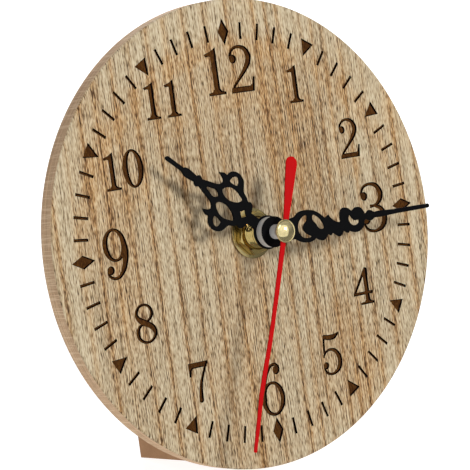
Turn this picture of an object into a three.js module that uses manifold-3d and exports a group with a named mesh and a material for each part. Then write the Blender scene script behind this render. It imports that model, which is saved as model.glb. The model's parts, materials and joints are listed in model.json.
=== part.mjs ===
// Round wooden desk clock: a flat dial board leaning back on a block glued low on its
// back, pierced hands on a brass post, and a battery quartz movement behind the board.
//
// Everything is drawn in the dial's own frame, in millimetres: X towards three o'clock,
// Y from the viewer into the dial, Z towards twelve, zero at the centre of the dial's face.
// The finished clock is then tipped back until it stands on the board's lower rim and the
// foot's rear edge.

import * as THREE from "three";
import { mergeVertices } from "three/addons/utils/BufferGeometryUtils.js";
import Module from "manifold-3d";

const wasm = await Module();
wasm.setup();

// Dial board and foot
const DIAL_RADIUS = 60;
const DIAL_THICKNESS = 5;
const FOOT_WIDTH = 48;
const FOOT_DEPTH = 24;
const FOOT_HEIGHT = 15;
const FOOT_UNDERSIDE = -54.4; // 5.6 mm above the board's lowest point
const GLUE_LINE = 0.1;

// Brass post and what clamps the board to it
const POST_RADIUS = 3.9;
const POST_BORE = 2.6;
const POST_FRONT = -5.9;
const POST_CHAMFER = 0.3;
const POST_FLANGE = { radius: 5.2, front: 7.7, back: 8.3 };
const POST_HOLE = 4.1;
const WASHER = { radius: 6.45, bore: 4.1, front: -0.6, back: -0.08 };
const NUT = { acrossFlats: 10, bore: 4.0, front: -2.7, back: -0.68, turn: 14.5 };
const NUT_CHAMFER = { radius: 5.3, depth: 0.25 };
const NUT_COUNTERSINK = { slope: 1, depth: 0.3 };
const GASKET = { radius: 9, bore: 4.2, front: 5.1, back: 6.0 };

// Hands: front and back of each plate, and the clock time of the rest pose as dial angles
const HOUR_HAND = { front: -7.1, back: -6.5, hub: 4.3, stem: 1.45, tip: 36.0, angle: 309.0 };
const HOUR_COLLAR = { front: -9.2, back: -7.15, radius: 3.85 };
const MINUTE_HAND = { front: -9.8, back: -9.3, hub: 3.93, neck: 2.75, tip: 52.4, angle: 90.55 };
const MINUTE_COLLAR = { front: -12.1, back: -9.85, radius: 1.85 };
const SECOND_HAND = { front: -13.95, back: -13.55, hub: 2.2, neck: 0.75, tip: 55.7, angle: 198.8 };
const SECOND_TAIL = { radius: 1.75, centre: -17.4 };
const TIP_RADIUS = 0.55; // rounded ends of the hour and minute hands
const SECOND_BOSS = { front: -13.5, back: -12.25, radius: 1.05 };
const SECOND_CAP = { rim: 2.95, dome: 2.71, back: -14.0, rimFront: -14.45, crown: -15.6, seat: 0.6 };

// Concentric arbors, outermost first
const HOUR_TUBE = { radius: 2.5, bore: 1.6, front: -9.1 };
const CANNON = { radius: 1.5, bore: 0.62, front: -12.0, flange: 2.4, flangeDepth: 0.2 };
const SECOND_ARBOR = { radius: 0.5, front: -14.3 };
const PRESS_GAP = 0.06;
const END_SHAKE = 0.2;
const CLEARANCE = 0.1;
const PIVOT = { radius: 0.35, bore: 0.45, front: 7.0 };

// Movement case
const CASE_SIZE = 56;
const CASE_CORNER = 3;
const CASE_WALL = 1.4;
const CASE_FRONT = 6.1;
const CASE_FLOOR = 7.6; // inner face of the front wall
const CASE_RIM = 20.55;
const BAY_CORNER = { train: 1.5, cell: 1 };
const CELL_BAY_BOTTOM = -27;
const COVER = { front: 20.6, back: 22.1, clearance: 0.2 };
const COVER_LIP = { depth: 1.2, wall: 1.0, corner: 1.3, innerCorner: 0.6 };
const PARTITION = { bottom: -11.6, top: -10.4 }; // between the train and the battery bay
const BRIDGE = { front: 16.0, back: 17.2, left: -22.5, right: 14.5, bottom: -8.2, top: 18, corner: 3 };
const PILLARS = [
  [-20, -4.5],
  [12, -5.7],
  [11.5, 15.5],
];
const PILLAR = { radius: 1.5, pin: 0.8, gap: 0.05 };
const OVERLAP = 0.3; // how far joined lumps of one moulding run into each other

// Going train and motion work. Teeth: 7 to 42 and 7 to 35 turn thirty turns of the rotor into
// one of the second hand, 8 to 60 and 7 to 56 turn sixty of those into one of the minute hand,
// and 8 to 24 and 8 to 32 turn twelve of those into one of the hour hand.
const PRESSURE_ANGLE = THREE.MathUtils.degToRad(29);
const ADDENDUM = 0.8; // tooth heights and side play in modules
const DEDENDUM = 1.05;
const SIDE_PLAY = 0.09;
const TEETH = {
  rotor: 7,
  intermediateWheel: 42,
  intermediatePinion: 7,
  secondWheel: 35,
  secondPinion: 8,
  thirdWheel: 60,
  thirdPinion: 7,
  centreWheel: 56,
  cannon: 8,
  motionWheel: 24,
  motionPinion: 8,
  hourWheel: 32,
};
const ROTOR_MODULE = 0.34;
const SECOND_MODULE = 0.48;
const CENTRE_MODULE = 0.31;
const MOTION_MODULE = 0.63;
const LAYER = {
  hourWheel: [8.6, 9.4],
  motionPinion: [8.5, 9.6],
  motionWheel: [9.9, 10.6],
  cannon: [9.8, 10.8],
  centreWheel: [11.2, 11.9],
  thirdPinion: [11.0, 12.1],
  thirdWheel: [12.5, 13.1],
  secondPinion: [12.35, 13.3],
  secondWheel: [13.7, 14.3],
  intermediatePinion: [13.55, 14.45],
  intermediateWheel: [14.8, 15.4],
  rotorPinion: [14.65, 15.55],
};

// Stepping motor, circuit and battery
const ROTOR_MAGNET = { radius: 3.0, bore: 0.8, front: 10.2, back: 12.8 };
const STATOR = { front: 11.0, back: 12.0, left: -25.6, right: -11.0, bottom: 2.2, top: 9.7 };
const STATOR_EAR = { width: 3, top: 22.5 };
const STATOR_HOLE = 3.5;
const COIL = { flange: 3.6, winding: 3.1, length: 8.2, flangeWidth: 0.7, z: 20.6 };
const COIL_CORE = { height: 2.4, front: 12.1, back: 13.1, slack: 0.15 };
const BOARD = { left: -8, right: 14, bottom: 19.5, top: 26, front: 8.2, back: 9.2, corner: 0.6 };
const SOLDER_GAP = 0.05;
const CRYSTAL = { radius: 1.0, length: 6, x: 8.5, z: 22.7 };
const CHIP = { radius: 2.2, height: 1.1, shoulder: 0.75, x: -2.5, z: 22.7 };
const CELL = { radius: 7.1, length: 49.5, edge: 0.6, nub: 2.7, nubLength: 1.2, y: 14.9, z: -19.3 };
const CONTACT = { sheet: 0.4, height: 9, depth: 9, wallX: 26.5 };
const KNOB = { radius: 6, grip: 0.35, lobes: 18, lobeSteps: 4, front: 22.4, back: 25.6, bore: 0.95 };
const MOTION_ARBOR = { radius: 0.7, knobRadius: 0.9, step: 0.5, back: 24.6, coverGap: 0.4, bridgeGap: 0.3 };

const SAG = 0.04; // most that a flat facet lies inside the true round
const SPLINE_STEPS = 2; // straight pieces between two points of a smooth outline

const material = {
  wood: finish(0xc0a482, 0.75, 0),
  fibreboard: finish(0x7d5a3c, 0.85, 0),
  brass: finish(0xc9a24a, 0.28, 1),
  black: finish(0x15130f, 0.5, 0.2),
  red: finish(0xc4121a, 0.4, 0),
  aluminium: finish(0xb9b8b6, 0.35, 0.9),
  steel: finish(0xa9abad, 0.3, 1),
  nickel: finish(0xc4c2ba, 0.35, 1),
  rubber: finish(0x222222, 0.9, 0),
  casing: finish(0x1d1d1f, 0.55, 0),
  acetal: finish(0xe9e6da, 0.5, 0),
  copper: finish(0xa65a2a, 0.4, 0.8),
  magnet: finish(0x3a3a3d, 0.5, 0.6),
  circuit: finish(0x2f5f3a, 0.6, 0),
  cell: finish(0x3d5a78, 0.4, 0.3),
};

function finish(color, roughness, metalness) {
  return new THREE.MeshStandardMaterial({ color, roughness, metalness });
}

// Solids: three.js geometry in, three.js geometry out
function solidOf(geometry) {
  const bare = new THREE.BufferGeometry();
  bare.setAttribute("position", geometry.getAttribute("position"));
  bare.setIndex(geometry.getIndex());
  const merged = mergeVertices(bare, 1e-4);
  const mesh = new wasm.Mesh({
    numProp: 3,
    vertProperties: merged.getAttribute("position").array,
    triVerts: new Uint32Array(merged.getIndex().array),
  });
  return new wasm.Manifold(mesh);
}

function geometryOf(solid) {
  const { vertProperties, triVerts } = solid.getMesh();
  const geometry = new THREE.BufferGeometry();
  geometry.setAttribute("position", new THREE.BufferAttribute(vertProperties, 3));
  geometry.setIndex(new THREE.BufferAttribute(triVerts, 1));
  geometry.computeVertexNormals();
  return geometry;
}

function join(...geometries) {
  return geometryOf(geometries.map(solidOf).reduce((whole, next) => whole.add(next)));
}

function cut(geometry, ...tools) {
  return geometryOf(tools.map(solidOf).reduce((rest, tool) => rest.subtract(tool), solidOf(geometry)));
}

function common(geometry, other) {
  return geometryOf(solidOf(geometry).intersect(solidOf(other)));
}

// A flat outline in dial X and Z, thick from front to back along Y. The outline runs
// counter-clockwise and its holes clockwise, whichever way they were drawn.
function plate(outline, front, back, curveSegments = 8) {
  const { shape, holes } = outline.extractPoints(curveSegments);
  const clockwise = THREE.ShapeUtils.isClockWise;
  const flat = new THREE.Shape(clockwise(shape) ? shape.reverse() : shape);
  flat.holes = holes.map((hole) => new THREE.Path(clockwise(hole) ? hole : hole.reverse()));
  const geometry = new THREE.ExtrudeGeometry(flat, { depth: back - front, bevelEnabled: false });
  return geometry.rotateX(Math.PI / 2).translate(0, back, 0);
}

function facets(radius) {
  return Math.max(10, 2 * Math.ceil(Math.PI / (2 * Math.acos(1 - SAG / radius))));
}

// A profile of [radius, y] pairs turned about the dial's axis
function turned(profile) {
  const points = profile.map(([radius, y]) => new THREE.Vector2(radius, y));
  const sides = facets(Math.max(...profile.map(([radius]) => radius)));
  const closed = profile[0][0] > 0 ? [...points, points[0]] : points;
  if (!THREE.ShapeUtils.isClockWise(points)) {
    return new THREE.LatheGeometry(closed, sides);
  }
  return new THREE.LatheGeometry(closed.reverse(), sides);
}

function rod(radius, front, back) {
  return turned([[0, front], [radius, front], [radius, back], [0, back]]);
}

function ring(radius, bore, front, back) {
  return turned([[bore, front], [radius, front], [radius, back], [bore, back]]);
}

function at(geometry, x, z) {
  return geometry.translate(x, 0, z);
}

function circle(radius, x = 0, z = 0) {
  const round = new THREE.EllipseCurve(x, z, radius, radius);
  return new THREE.Path(round.getPoints(facets(radius)).slice(0, -1));
}

function disc(radius, hole) {
  const shape = new THREE.Shape(circle(radius).getPoints());
  shape.holes.push(circle(hole));
  return shape;
}

function roundedRectangle(left, bottom, right, top, corner, path = new THREE.Shape()) {
  const quarter = Math.PI / 2;
  path.moveTo(left + corner, bottom);
  path.lineTo(right - corner, bottom);
  path.absarc(right - corner, bottom + corner, corner, -quarter, 0);
  path.lineTo(right, top - corner);
  path.absarc(right - corner, top - corner, corner, 0, quarter);
  path.lineTo(left + corner, top);
  path.absarc(left + corner, top - corner, corner, quarter, 2 * quarter);
  path.lineTo(left, bottom + corner);
  path.absarc(left + corner, bottom + corner, corner, 2 * quarter, 3 * quarter);
  return path;
}

// Stretches of an outline: each runs smoothly through its points, and two meet in a corner
function stretches(path, list) {
  for (const points of list) {
    const knots = [path.currentPoint.clone(), ...points.map(([x, z]) => new THREE.Vector2(x, z))];
    const steps = points.length > 1 ? points.length * SPLINE_STEPS : 1;
    for (const { x, y } of new THREE.SplineCurve(knots).getPoints(steps).slice(1)) {
      path.lineTo(x, y);
    }
  }
  return path;
}

function smoothLoop(points) {
  const knots = points.map(([x, z]) => new THREE.Vector3(x, z, 0));
  const curve = new THREE.CatmullRomCurve3(knots, true, "catmullrom");
  const around = curve.getPoints(points.length * SPLINE_STEPS).slice(0, -1);
  return new THREE.Path(around.map(({ x, y }) => new THREE.Vector2(x, y)));
}

// Involute gear outline with one tooth centred on the angle given
function gear(teeth, module, toothAngle, hole = 0) {
  const pitch = (module * teeth) / 2;
  const base = pitch * Math.cos(PRESSURE_ANGLE);
  const tip = pitch + ADDENDUM * module;
  const root = pitch - DEDENDUM * module;
  const involute = (angle) => Math.tan(angle) - angle;
  const halfTooth = Math.PI / (2 * teeth) - (SIDE_PLAY * module) / pitch + involute(PRESSURE_ANGLE);
  const flankAngle = (radius) => halfTooth - involute(Math.acos(Math.min(1, base / radius)));
  const flank = root > base ? [root, tip] : [root, base, tip];
  const points = [];
  for (let tooth = 0; tooth < teeth; tooth += 1) {
    const centre = toothAngle + (2 * Math.PI * tooth) / teeth;
    for (const side of [-1, 1]) {
      for (const radius of side < 0 ? flank : [...flank].reverse()) {
        const angle = centre + side * flankAngle(radius);
        points.push(new THREE.Vector2(radius * Math.cos(angle), radius * Math.sin(angle)));
      }
    }
  }
  const shape = new THREE.Shape(points);
  if (hole > 0) {
    shape.holes.push(circle(hole));
  }
  return shape;
}

// Where one arbor stands from another, and the angles that bring the two gears into mesh
function mesh(teethA, teethB, module, direction) {
  const angle = THREE.MathUtils.degToRad(direction);
  const distance = (module * (teethA + teethB)) / 2;
  return {
    x: distance * Math.cos(angle),
    z: distance * Math.sin(angle),
    distance,
    angleA: angle,
    angleB: angle + Math.PI + Math.PI / teethB,
  };
}

const thirdMesh = mesh(TEETH.thirdPinion, TEETH.centreWheel, CENTRE_MODULE, 100);
const thirdModule = (2 * thirdMesh.distance) / (TEETH.secondPinion + TEETH.thirdWheel);
const motionMesh = mesh(TEETH.cannon, TEETH.motionWheel, MOTION_MODULE, 30);
const hourModule = (2 * motionMesh.distance) / (TEETH.motionPinion + TEETH.hourWheel);
const intermediateMesh = mesh(TEETH.secondWheel, TEETH.intermediatePinion, SECOND_MODULE, 170);
const rotorMesh = mesh(TEETH.intermediateWheel, TEETH.rotor, ROTOR_MODULE, 150);

const THIRD_AXIS = [thirdMesh.x, thirdMesh.z];
const MOTION_AXIS = [motionMesh.x, motionMesh.z];
const INTERMEDIATE_AXIS = [intermediateMesh.x, intermediateMesh.z];
const ROTOR_AXIS = [intermediateMesh.x + rotorMesh.x, intermediateMesh.z + rotorMesh.z];

const clock = new THREE.Group();

function piece(name, geometry, finishOfPiece, parent = clock) {
  const body = new THREE.Mesh(geometry, finishOfPiece);
  body.name = name;
  parent.add(body);
  return body;
}

function turningGroup(x, z, dialAngle = 0) {
  const group = new THREE.Group();
  group.position.set(x, 0, z);
  group.rotation.y = THREE.MathUtils.degToRad(dialAngle);
  clock.add(group);
  return group;
}

// Board, foot and the brass clamp
function addBoard() {
  piece("dial_board", plate(disc(DIAL_RADIUS, POST_HOLE), 0, DIAL_THICKNESS), material.wood);
  const half = FOOT_WIDTH / 2;
  const front = DIAL_THICKNESS + GLUE_LINE;
  const block = new THREE.Shape();
  block.moveTo(-half, FOOT_UNDERSIDE);
  block.lineTo(half, FOOT_UNDERSIDE);
  block.lineTo(half, FOOT_UNDERSIDE + FOOT_HEIGHT);
  block.lineTo(-half, FOOT_UNDERSIDE + FOOT_HEIGHT);
  piece("stand_foot", plate(block, front, front + FOOT_DEPTH), material.fibreboard);
}

function addClamp() {
  piece("clamp_washer", ring(WASHER.radius, WASHER.bore, WASHER.front, WASHER.back), material.brass);

  const corner = NUT.acrossFlats / Math.sqrt(3);
  const corners = [];
  for (let side = 0; side < 6; side += 1) {
    const angle = THREE.MathUtils.degToRad(NUT.turn + 60 * side);
    corners.push(new THREE.Vector2(corner * Math.cos(angle), corner * Math.sin(angle)));
  }
  const prism = plate(new THREE.Shape(corners), NUT.front, NUT.back);
  const outside = corner + CLEARANCE;
  const chamfered = turned([
    [0, NUT.front],
    [NUT_CHAMFER.radius, NUT.front],
    [outside, NUT.front + NUT_CHAMFER.depth],
    [outside, NUT.back],
    [0, NUT.back],
  ]);
  const past = 1;
  const countersink = turned([
    [0, NUT.front - past],
    [NUT.bore + NUT_COUNTERSINK.slope * (past + NUT_COUNTERSINK.depth), NUT.front - past],
    [NUT.bore, NUT.front + NUT_COUNTERSINK.depth],
    [NUT.bore, NUT.back + past],
    [0, NUT.back + past],
  ]);
  piece("hex_nut", cut(common(prism, chamfered), countersink), material.brass);

  const post = turned([
    [POST_BORE, POST_FRONT],
    [POST_RADIUS - POST_CHAMFER, POST_FRONT],
    [POST_RADIUS, POST_FRONT + POST_CHAMFER],
    [POST_RADIUS, POST_FLANGE.front],
    [POST_FLANGE.radius, POST_FLANGE.front],
    [POST_FLANGE.radius, POST_FLANGE.back],
    [POST_BORE, POST_FLANGE.back],
  ]);
  piece("threaded_post", post, material.brass);
  piece("rubber_gasket", ring(GASKET.radius, GASKET.bore, GASKET.front, GASKET.back), material.rubber);
}

// Hands
function hourHandOutline() {
  const { hub, stem, tip } = HOUR_HAND;
  const hubAngle = Math.acos(stem / hub);
  const half = new THREE.Path();
  half.absarc(0, tip - TIP_RADIUS, TIP_RADIUS, Math.PI / 2, 0, true);
  stretches(half, [
    [[TIP_RADIUS, 30.2]],
    [[0.9, 29.7], [1.12, 28.4], [0.85, 25.8]],
    [[1.35, 25.4], [1.5, 24.8], [1.05, 23.9]],
    [[1.75, 21.6], [2.35, 19.6], [3.0, 18.6], [3.9, 18.2], [4.6, 18.8], [5.3, 20.4]],
    [[6.0, 19.0], [5.9, 17.9]],
    [[7.5, 17.1], [8.2, 15.0], [7.4, 12.9], [5.6, 11.9]],
    [[4.8, 11.3], [4.2, 10.1], [3.4, 9.1]],
    [[3.75, 8.3], [3.3, 7.5], [2.5, 7.1]],
    [[stem, 6.8]],
  ]);
  half.absarc(0, 0, hub, hubAngle, -Math.PI / 2, true);
  const right = half.getPoints(8);
  const left = right.slice(1, -1).reverse().map(({ x, y }) => new THREE.Vector2(-x, y));
  const outline = new THREE.Shape([...right, ...left]);
  outline.holes.push(circle(HOUR_TUBE.radius + PRESS_GAP));
  const leaf = [[0, 21.9], [0.75, 20.2], [0.95, 18.9], [0, 17.7], [-0.95, 18.9], [-0.75, 20.2]];
  const diamond = [[0, 10.1], [1.15, 8.95], [0, 7.8], [-1.15, 8.95]];
  outline.holes.push(smoothLoop(leaf));
  outline.holes.push(new THREE.Path(diamond.map(([x, z]) => new THREE.Vector2(x, z))));
  const lens = [
    [2.1, 17.4], [3.6, 15.9], [4.05, 14.0], [3.5, 11.8], [2.9, 10.8], [1.6, 11.9], [0.75, 14.2], [1.0, 16.3],
  ];
  const scroll = [[4.95, 16.3], [6.3, 16.2], [7.1, 15.0], [6.6, 14.1], [5.2, 14.0]];
  for (const side of [1, -1]) {
    outline.holes.push(smoothLoop(lens.map(([x, z]) => [side * x, z])));
    outline.holes.push(smoothLoop(scroll.map(([x, z]) => [side * x, z])));
  }
  return outline;
}

function minuteHandOutline() {
  const { hub, neck, tip } = MINUTE_HAND;
  const hubAngle = Math.acos(neck / hub);
  const tipCentre = tip - TIP_RADIUS;
  const outline = new THREE.Shape();
  outline.absarc(0, tipCentre, TIP_RADIUS, Math.PI, 0, true);
  stretches(outline, [
    [[0.65, 40.0], [0.85, 35.0], [0.7, 33.3]],
    [[1.3, 32.0], [1.15, 31.0], [0.75, 30.2]],
    [[1.2, 29.6], [2.6, 29.1], [3.6, 27.3], [3.5, 25.5], [3.05, 24.4]],
    [[3.5, 23.6], [2.75, 22.4]],
    [[4.05, 20.9], [2.75, 18.7]],
    [[3.4, 18.0], [2.9, 17.2]],
    [[3.9, 16.3], [4.3, 15.2], [3.9, 13.9], [3.4, 13.1]],
    [[3.95, 12.0], [4.15, 10.4], [3.8, 8.4], [neck, 6.3]],
  ]);
  outline.absarc(0, 0, hub, hubAngle, Math.PI - hubAngle, true);
  stretches(outline, [
    [[-neck, 6.3], [-3.8, 8.2], [-4.15, 10.4], [-3.8, 12.9], [-2.8, 14.9], [-1.35, 16.7]],
    [[-2.0, 18.0]],
    [[-1.1, 18.6], [0.1, 20.3], [0.35, 21.6]],
    [[-1.6, 21.6], [-2.8, 22.3], [-3.15, 23.3], [-2.8, 24.7], [-1.9, 25.7]],
    [[-2.7, 27.0], [-2.6, 28.6], [-1.6, 29.6], [-0.55, 30.2]],
    [[-1.4, 31.2], [-1.35, 32.1], [-0.7, 33.3]],
    [[-0.85, 35.0], [-0.65, 40.0], [-TIP_RADIUS, tipCentre]],
  ]);
  const leaf = [
    [-2.6, 12.9], [-2.1, 14.1], [-1.0, 15.3], [1.05, 16.1], [1.15, 14.6], [-0.4, 13.4], [-1.5, 12.6],
  ];
  const crescent = [
    [-2.75, 10.7], [-2.5, 9.4], [-1.2, 8.0], [0.6, 7.6], [2.4, 8.6], [3.0, 10.3], [2.8, 11.7],
    [2.1, 10.5], [1.0, 9.4], [0.1, 9.3], [-0.8, 9.9], [-1.6, 10.8],
  ];
  const scroll = [
    [-1.0, 24.9], [-0.1, 25.6], [0.55, 26.4], [0.6, 27.7], [1.3, 27.7], [1.8, 26.8], [1.7, 25.6],
    [1.0, 24.8], [0, 24.4],
  ];
  for (const opening of [leaf, crescent, scroll]) {
    outline.holes.push(smoothLoop(opening));
  }
  outline.holes.push(circle(CANNON.radius + PRESS_GAP));
  return outline;
}

function secondHandOutline() {
  const { hub, neck, tip } = SECOND_HAND;
  const hubAngle = Math.acos(neck / hub);
  const outline = new THREE.Shape();
  outline.absarc(0, SECOND_TAIL.centre, SECOND_TAIL.radius, Math.PI, 2 * Math.PI);
  outline.absarc(0, 0, hub, -hubAngle, hubAngle);
  stretches(outline, [[[0.6, 20]], [[0.65, 38]], [[0.48, tip]]]);
  stretches(outline, [[[-0.48, tip]], [[-0.65, 38]], [[-0.6, 20]]]);
  outline.absarc(0, 0, hub, Math.PI - hubAngle, Math.PI + hubAngle);
  outline.holes.push(circle(SECOND_ARBOR.radius + PRESS_GAP));
  return outline;
}

function addHands() {
  const hour = turningGroup(0, 0, HOUR_HAND.angle);
  const minute = turningGroup(0, 0, MINUTE_HAND.angle);
  const second = turningGroup(0, 0, SECOND_HAND.angle);
  const plates = [
    ["hour_hand", hourHandOutline(), HOUR_HAND, material.black, hour],
    ["minute_hand", minuteHandOutline(), MINUTE_HAND, material.black, minute],
    ["second_hand", secondHandOutline(), SECOND_HAND, material.red, second],
  ];
  for (const [name, outline, hand, look, group] of plates) {
    piece(name, plate(outline, hand.front, hand.back), look, group);
  }

  const collars = [
    ["hour_hand_collar", HOUR_COLLAR, HOUR_TUBE, material.aluminium, hour],
    ["minute_hand_collar", MINUTE_COLLAR, CANNON, material.aluminium, minute],
    ["second_hand_boss", SECOND_BOSS, SECOND_ARBOR, material.brass, second],
  ];
  for (const [name, collar, arbor, look, group] of collars) {
    piece(name, ring(collar.radius, arbor.radius + PRESS_GAP, collar.front, collar.back), look, group);
  }

  const { rim, dome, back, rimFront, crown, seat } = SECOND_CAP;
  const profile = [[0, crown]];
  const steps = 5;
  for (let step = 1; step <= steps; step += 1) {
    const angle = (Math.PI / 2) * (step / steps);
    profile.push([dome * Math.sin(angle), rimFront + (crown - rimFront) * Math.cos(angle)]);
  }
  const socketEnd = SECOND_ARBOR.front - CLEARANCE;
  profile.push([rim, rimFront + CLEARANCE], [rim, back], [seat, back], [seat, socketEnd], [0, socketEnd]);
  piece("second_hand_cap", turned(profile), material.brass, second);
}

// Case, cover and the bridge that holds the train's rear pivots
function addCase() {
  const half = CASE_SIZE / 2;
  const inner = half - CASE_WALL;
  const frontWall = roundedRectangle(-half, -half, half, half, CASE_CORNER);
  frontWall.holes.push(circle(POST_RADIUS + CLEARANCE));
  const walls = roundedRectangle(-half, -half, half, half, CASE_CORNER);
  const trainBay = [-inner, PARTITION.top, inner, inner, BAY_CORNER.train];
  const cellBay = [-inner, CELL_BAY_BOTTOM, inner, PARTITION.bottom, BAY_CORNER.cell];
  walls.holes.push(roundedRectangle(...trainBay, new THREE.Path()));
  walls.holes.push(roundedRectangle(...cellBay, new THREE.Path()));
  const pillarFront = CASE_FLOOR - OVERLAP;
  const pillarBack = BRIDGE.front - PILLAR.gap;
  const shell = join(
    plate(frontWall, CASE_FRONT, CASE_FLOOR),
    plate(walls, CASE_FLOOR - OVERLAP, CASE_RIM, 4),
    ...PILLARS.map(([x, z]) => at(rod(PILLAR.radius, pillarFront, pillarBack), x, z)),
    ...PILLARS.map(([x, z]) => at(rod(PILLAR.pin, CASE_FLOOR, BRIDGE.back), x, z)),
  );
  const pivotHoles = [THIRD_AXIS, MOTION_AXIS, INTERMEDIATE_AXIS, ROTOR_AXIS].map(([x, z]) =>
    at(rod(PIVOT.bore, PIVOT.front - CLEARANCE, CASE_FLOOR + 1), x, z),
  );
  piece("movement_case", cut(shell, ...pivotHoles), material.casing);

  const coverOutline = roundedRectangle(-half, PARTITION.bottom, half, half, CASE_CORNER);
  coverOutline.holes.push(circle(MOTION_ARBOR.knobRadius + MOTION_ARBOR.coverGap, ...MOTION_AXIS));
  const lipEdge = inner - COVER.clearance;
  const lipInner = lipEdge - COVER_LIP.wall;
  const lipBottom = PARTITION.top + COVER.clearance;
  const lip = roundedRectangle(-lipEdge, lipBottom, lipEdge, lipEdge, COVER_LIP.corner);
  const lipHole = [-lipInner, lipBottom + COVER_LIP.wall, lipInner, lipInner, COVER_LIP.innerCorner];
  lip.holes.push(roundedRectangle(...lipHole, new THREE.Path()));
  const cover = join(
    plate(coverOutline, COVER.front, COVER.back, 4),
    plate(lip, COVER.front - COVER_LIP.depth, COVER.front + OVERLAP, 4),
  );
  piece("rear_cover", cover, material.casing);

  const bridge = roundedRectangle(BRIDGE.left, BRIDGE.bottom, BRIDGE.right, BRIDGE.top, BRIDGE.corner);
  for (const [x, z] of [[0, 0], THIRD_AXIS, INTERMEDIATE_AXIS, ROTOR_AXIS]) {
    bridge.holes.push(circle(PIVOT.bore, x, z));
  }
  bridge.holes.push(circle(MOTION_ARBOR.knobRadius + MOTION_ARBOR.bridgeGap, ...MOTION_AXIS));
  for (const [x, z] of PILLARS) {
    bridge.holes.push(circle(PILLAR.pin + CLEARANCE, x, z));
  }
  piece("train_bridge", plate(bridge, BRIDGE.front, BRIDGE.back, 6), material.acetal);
}

// An arbor between the front wall and the bridge, with a thinner pivot at each end
function arborBetweenPlates(radius) {
  const front = CASE_FLOOR + END_SHAKE;
  const back = BRIDGE.front - END_SHAKE;
  return turned([
    [0, PIVOT.front],
    [PIVOT.radius, PIVOT.front],
    [PIVOT.radius, front],
    [radius, front],
    [radius, back],
    [PIVOT.radius, back],
    [PIVOT.radius, BRIDGE.back],
    [0, BRIDGE.back],
  ]);
}

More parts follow.
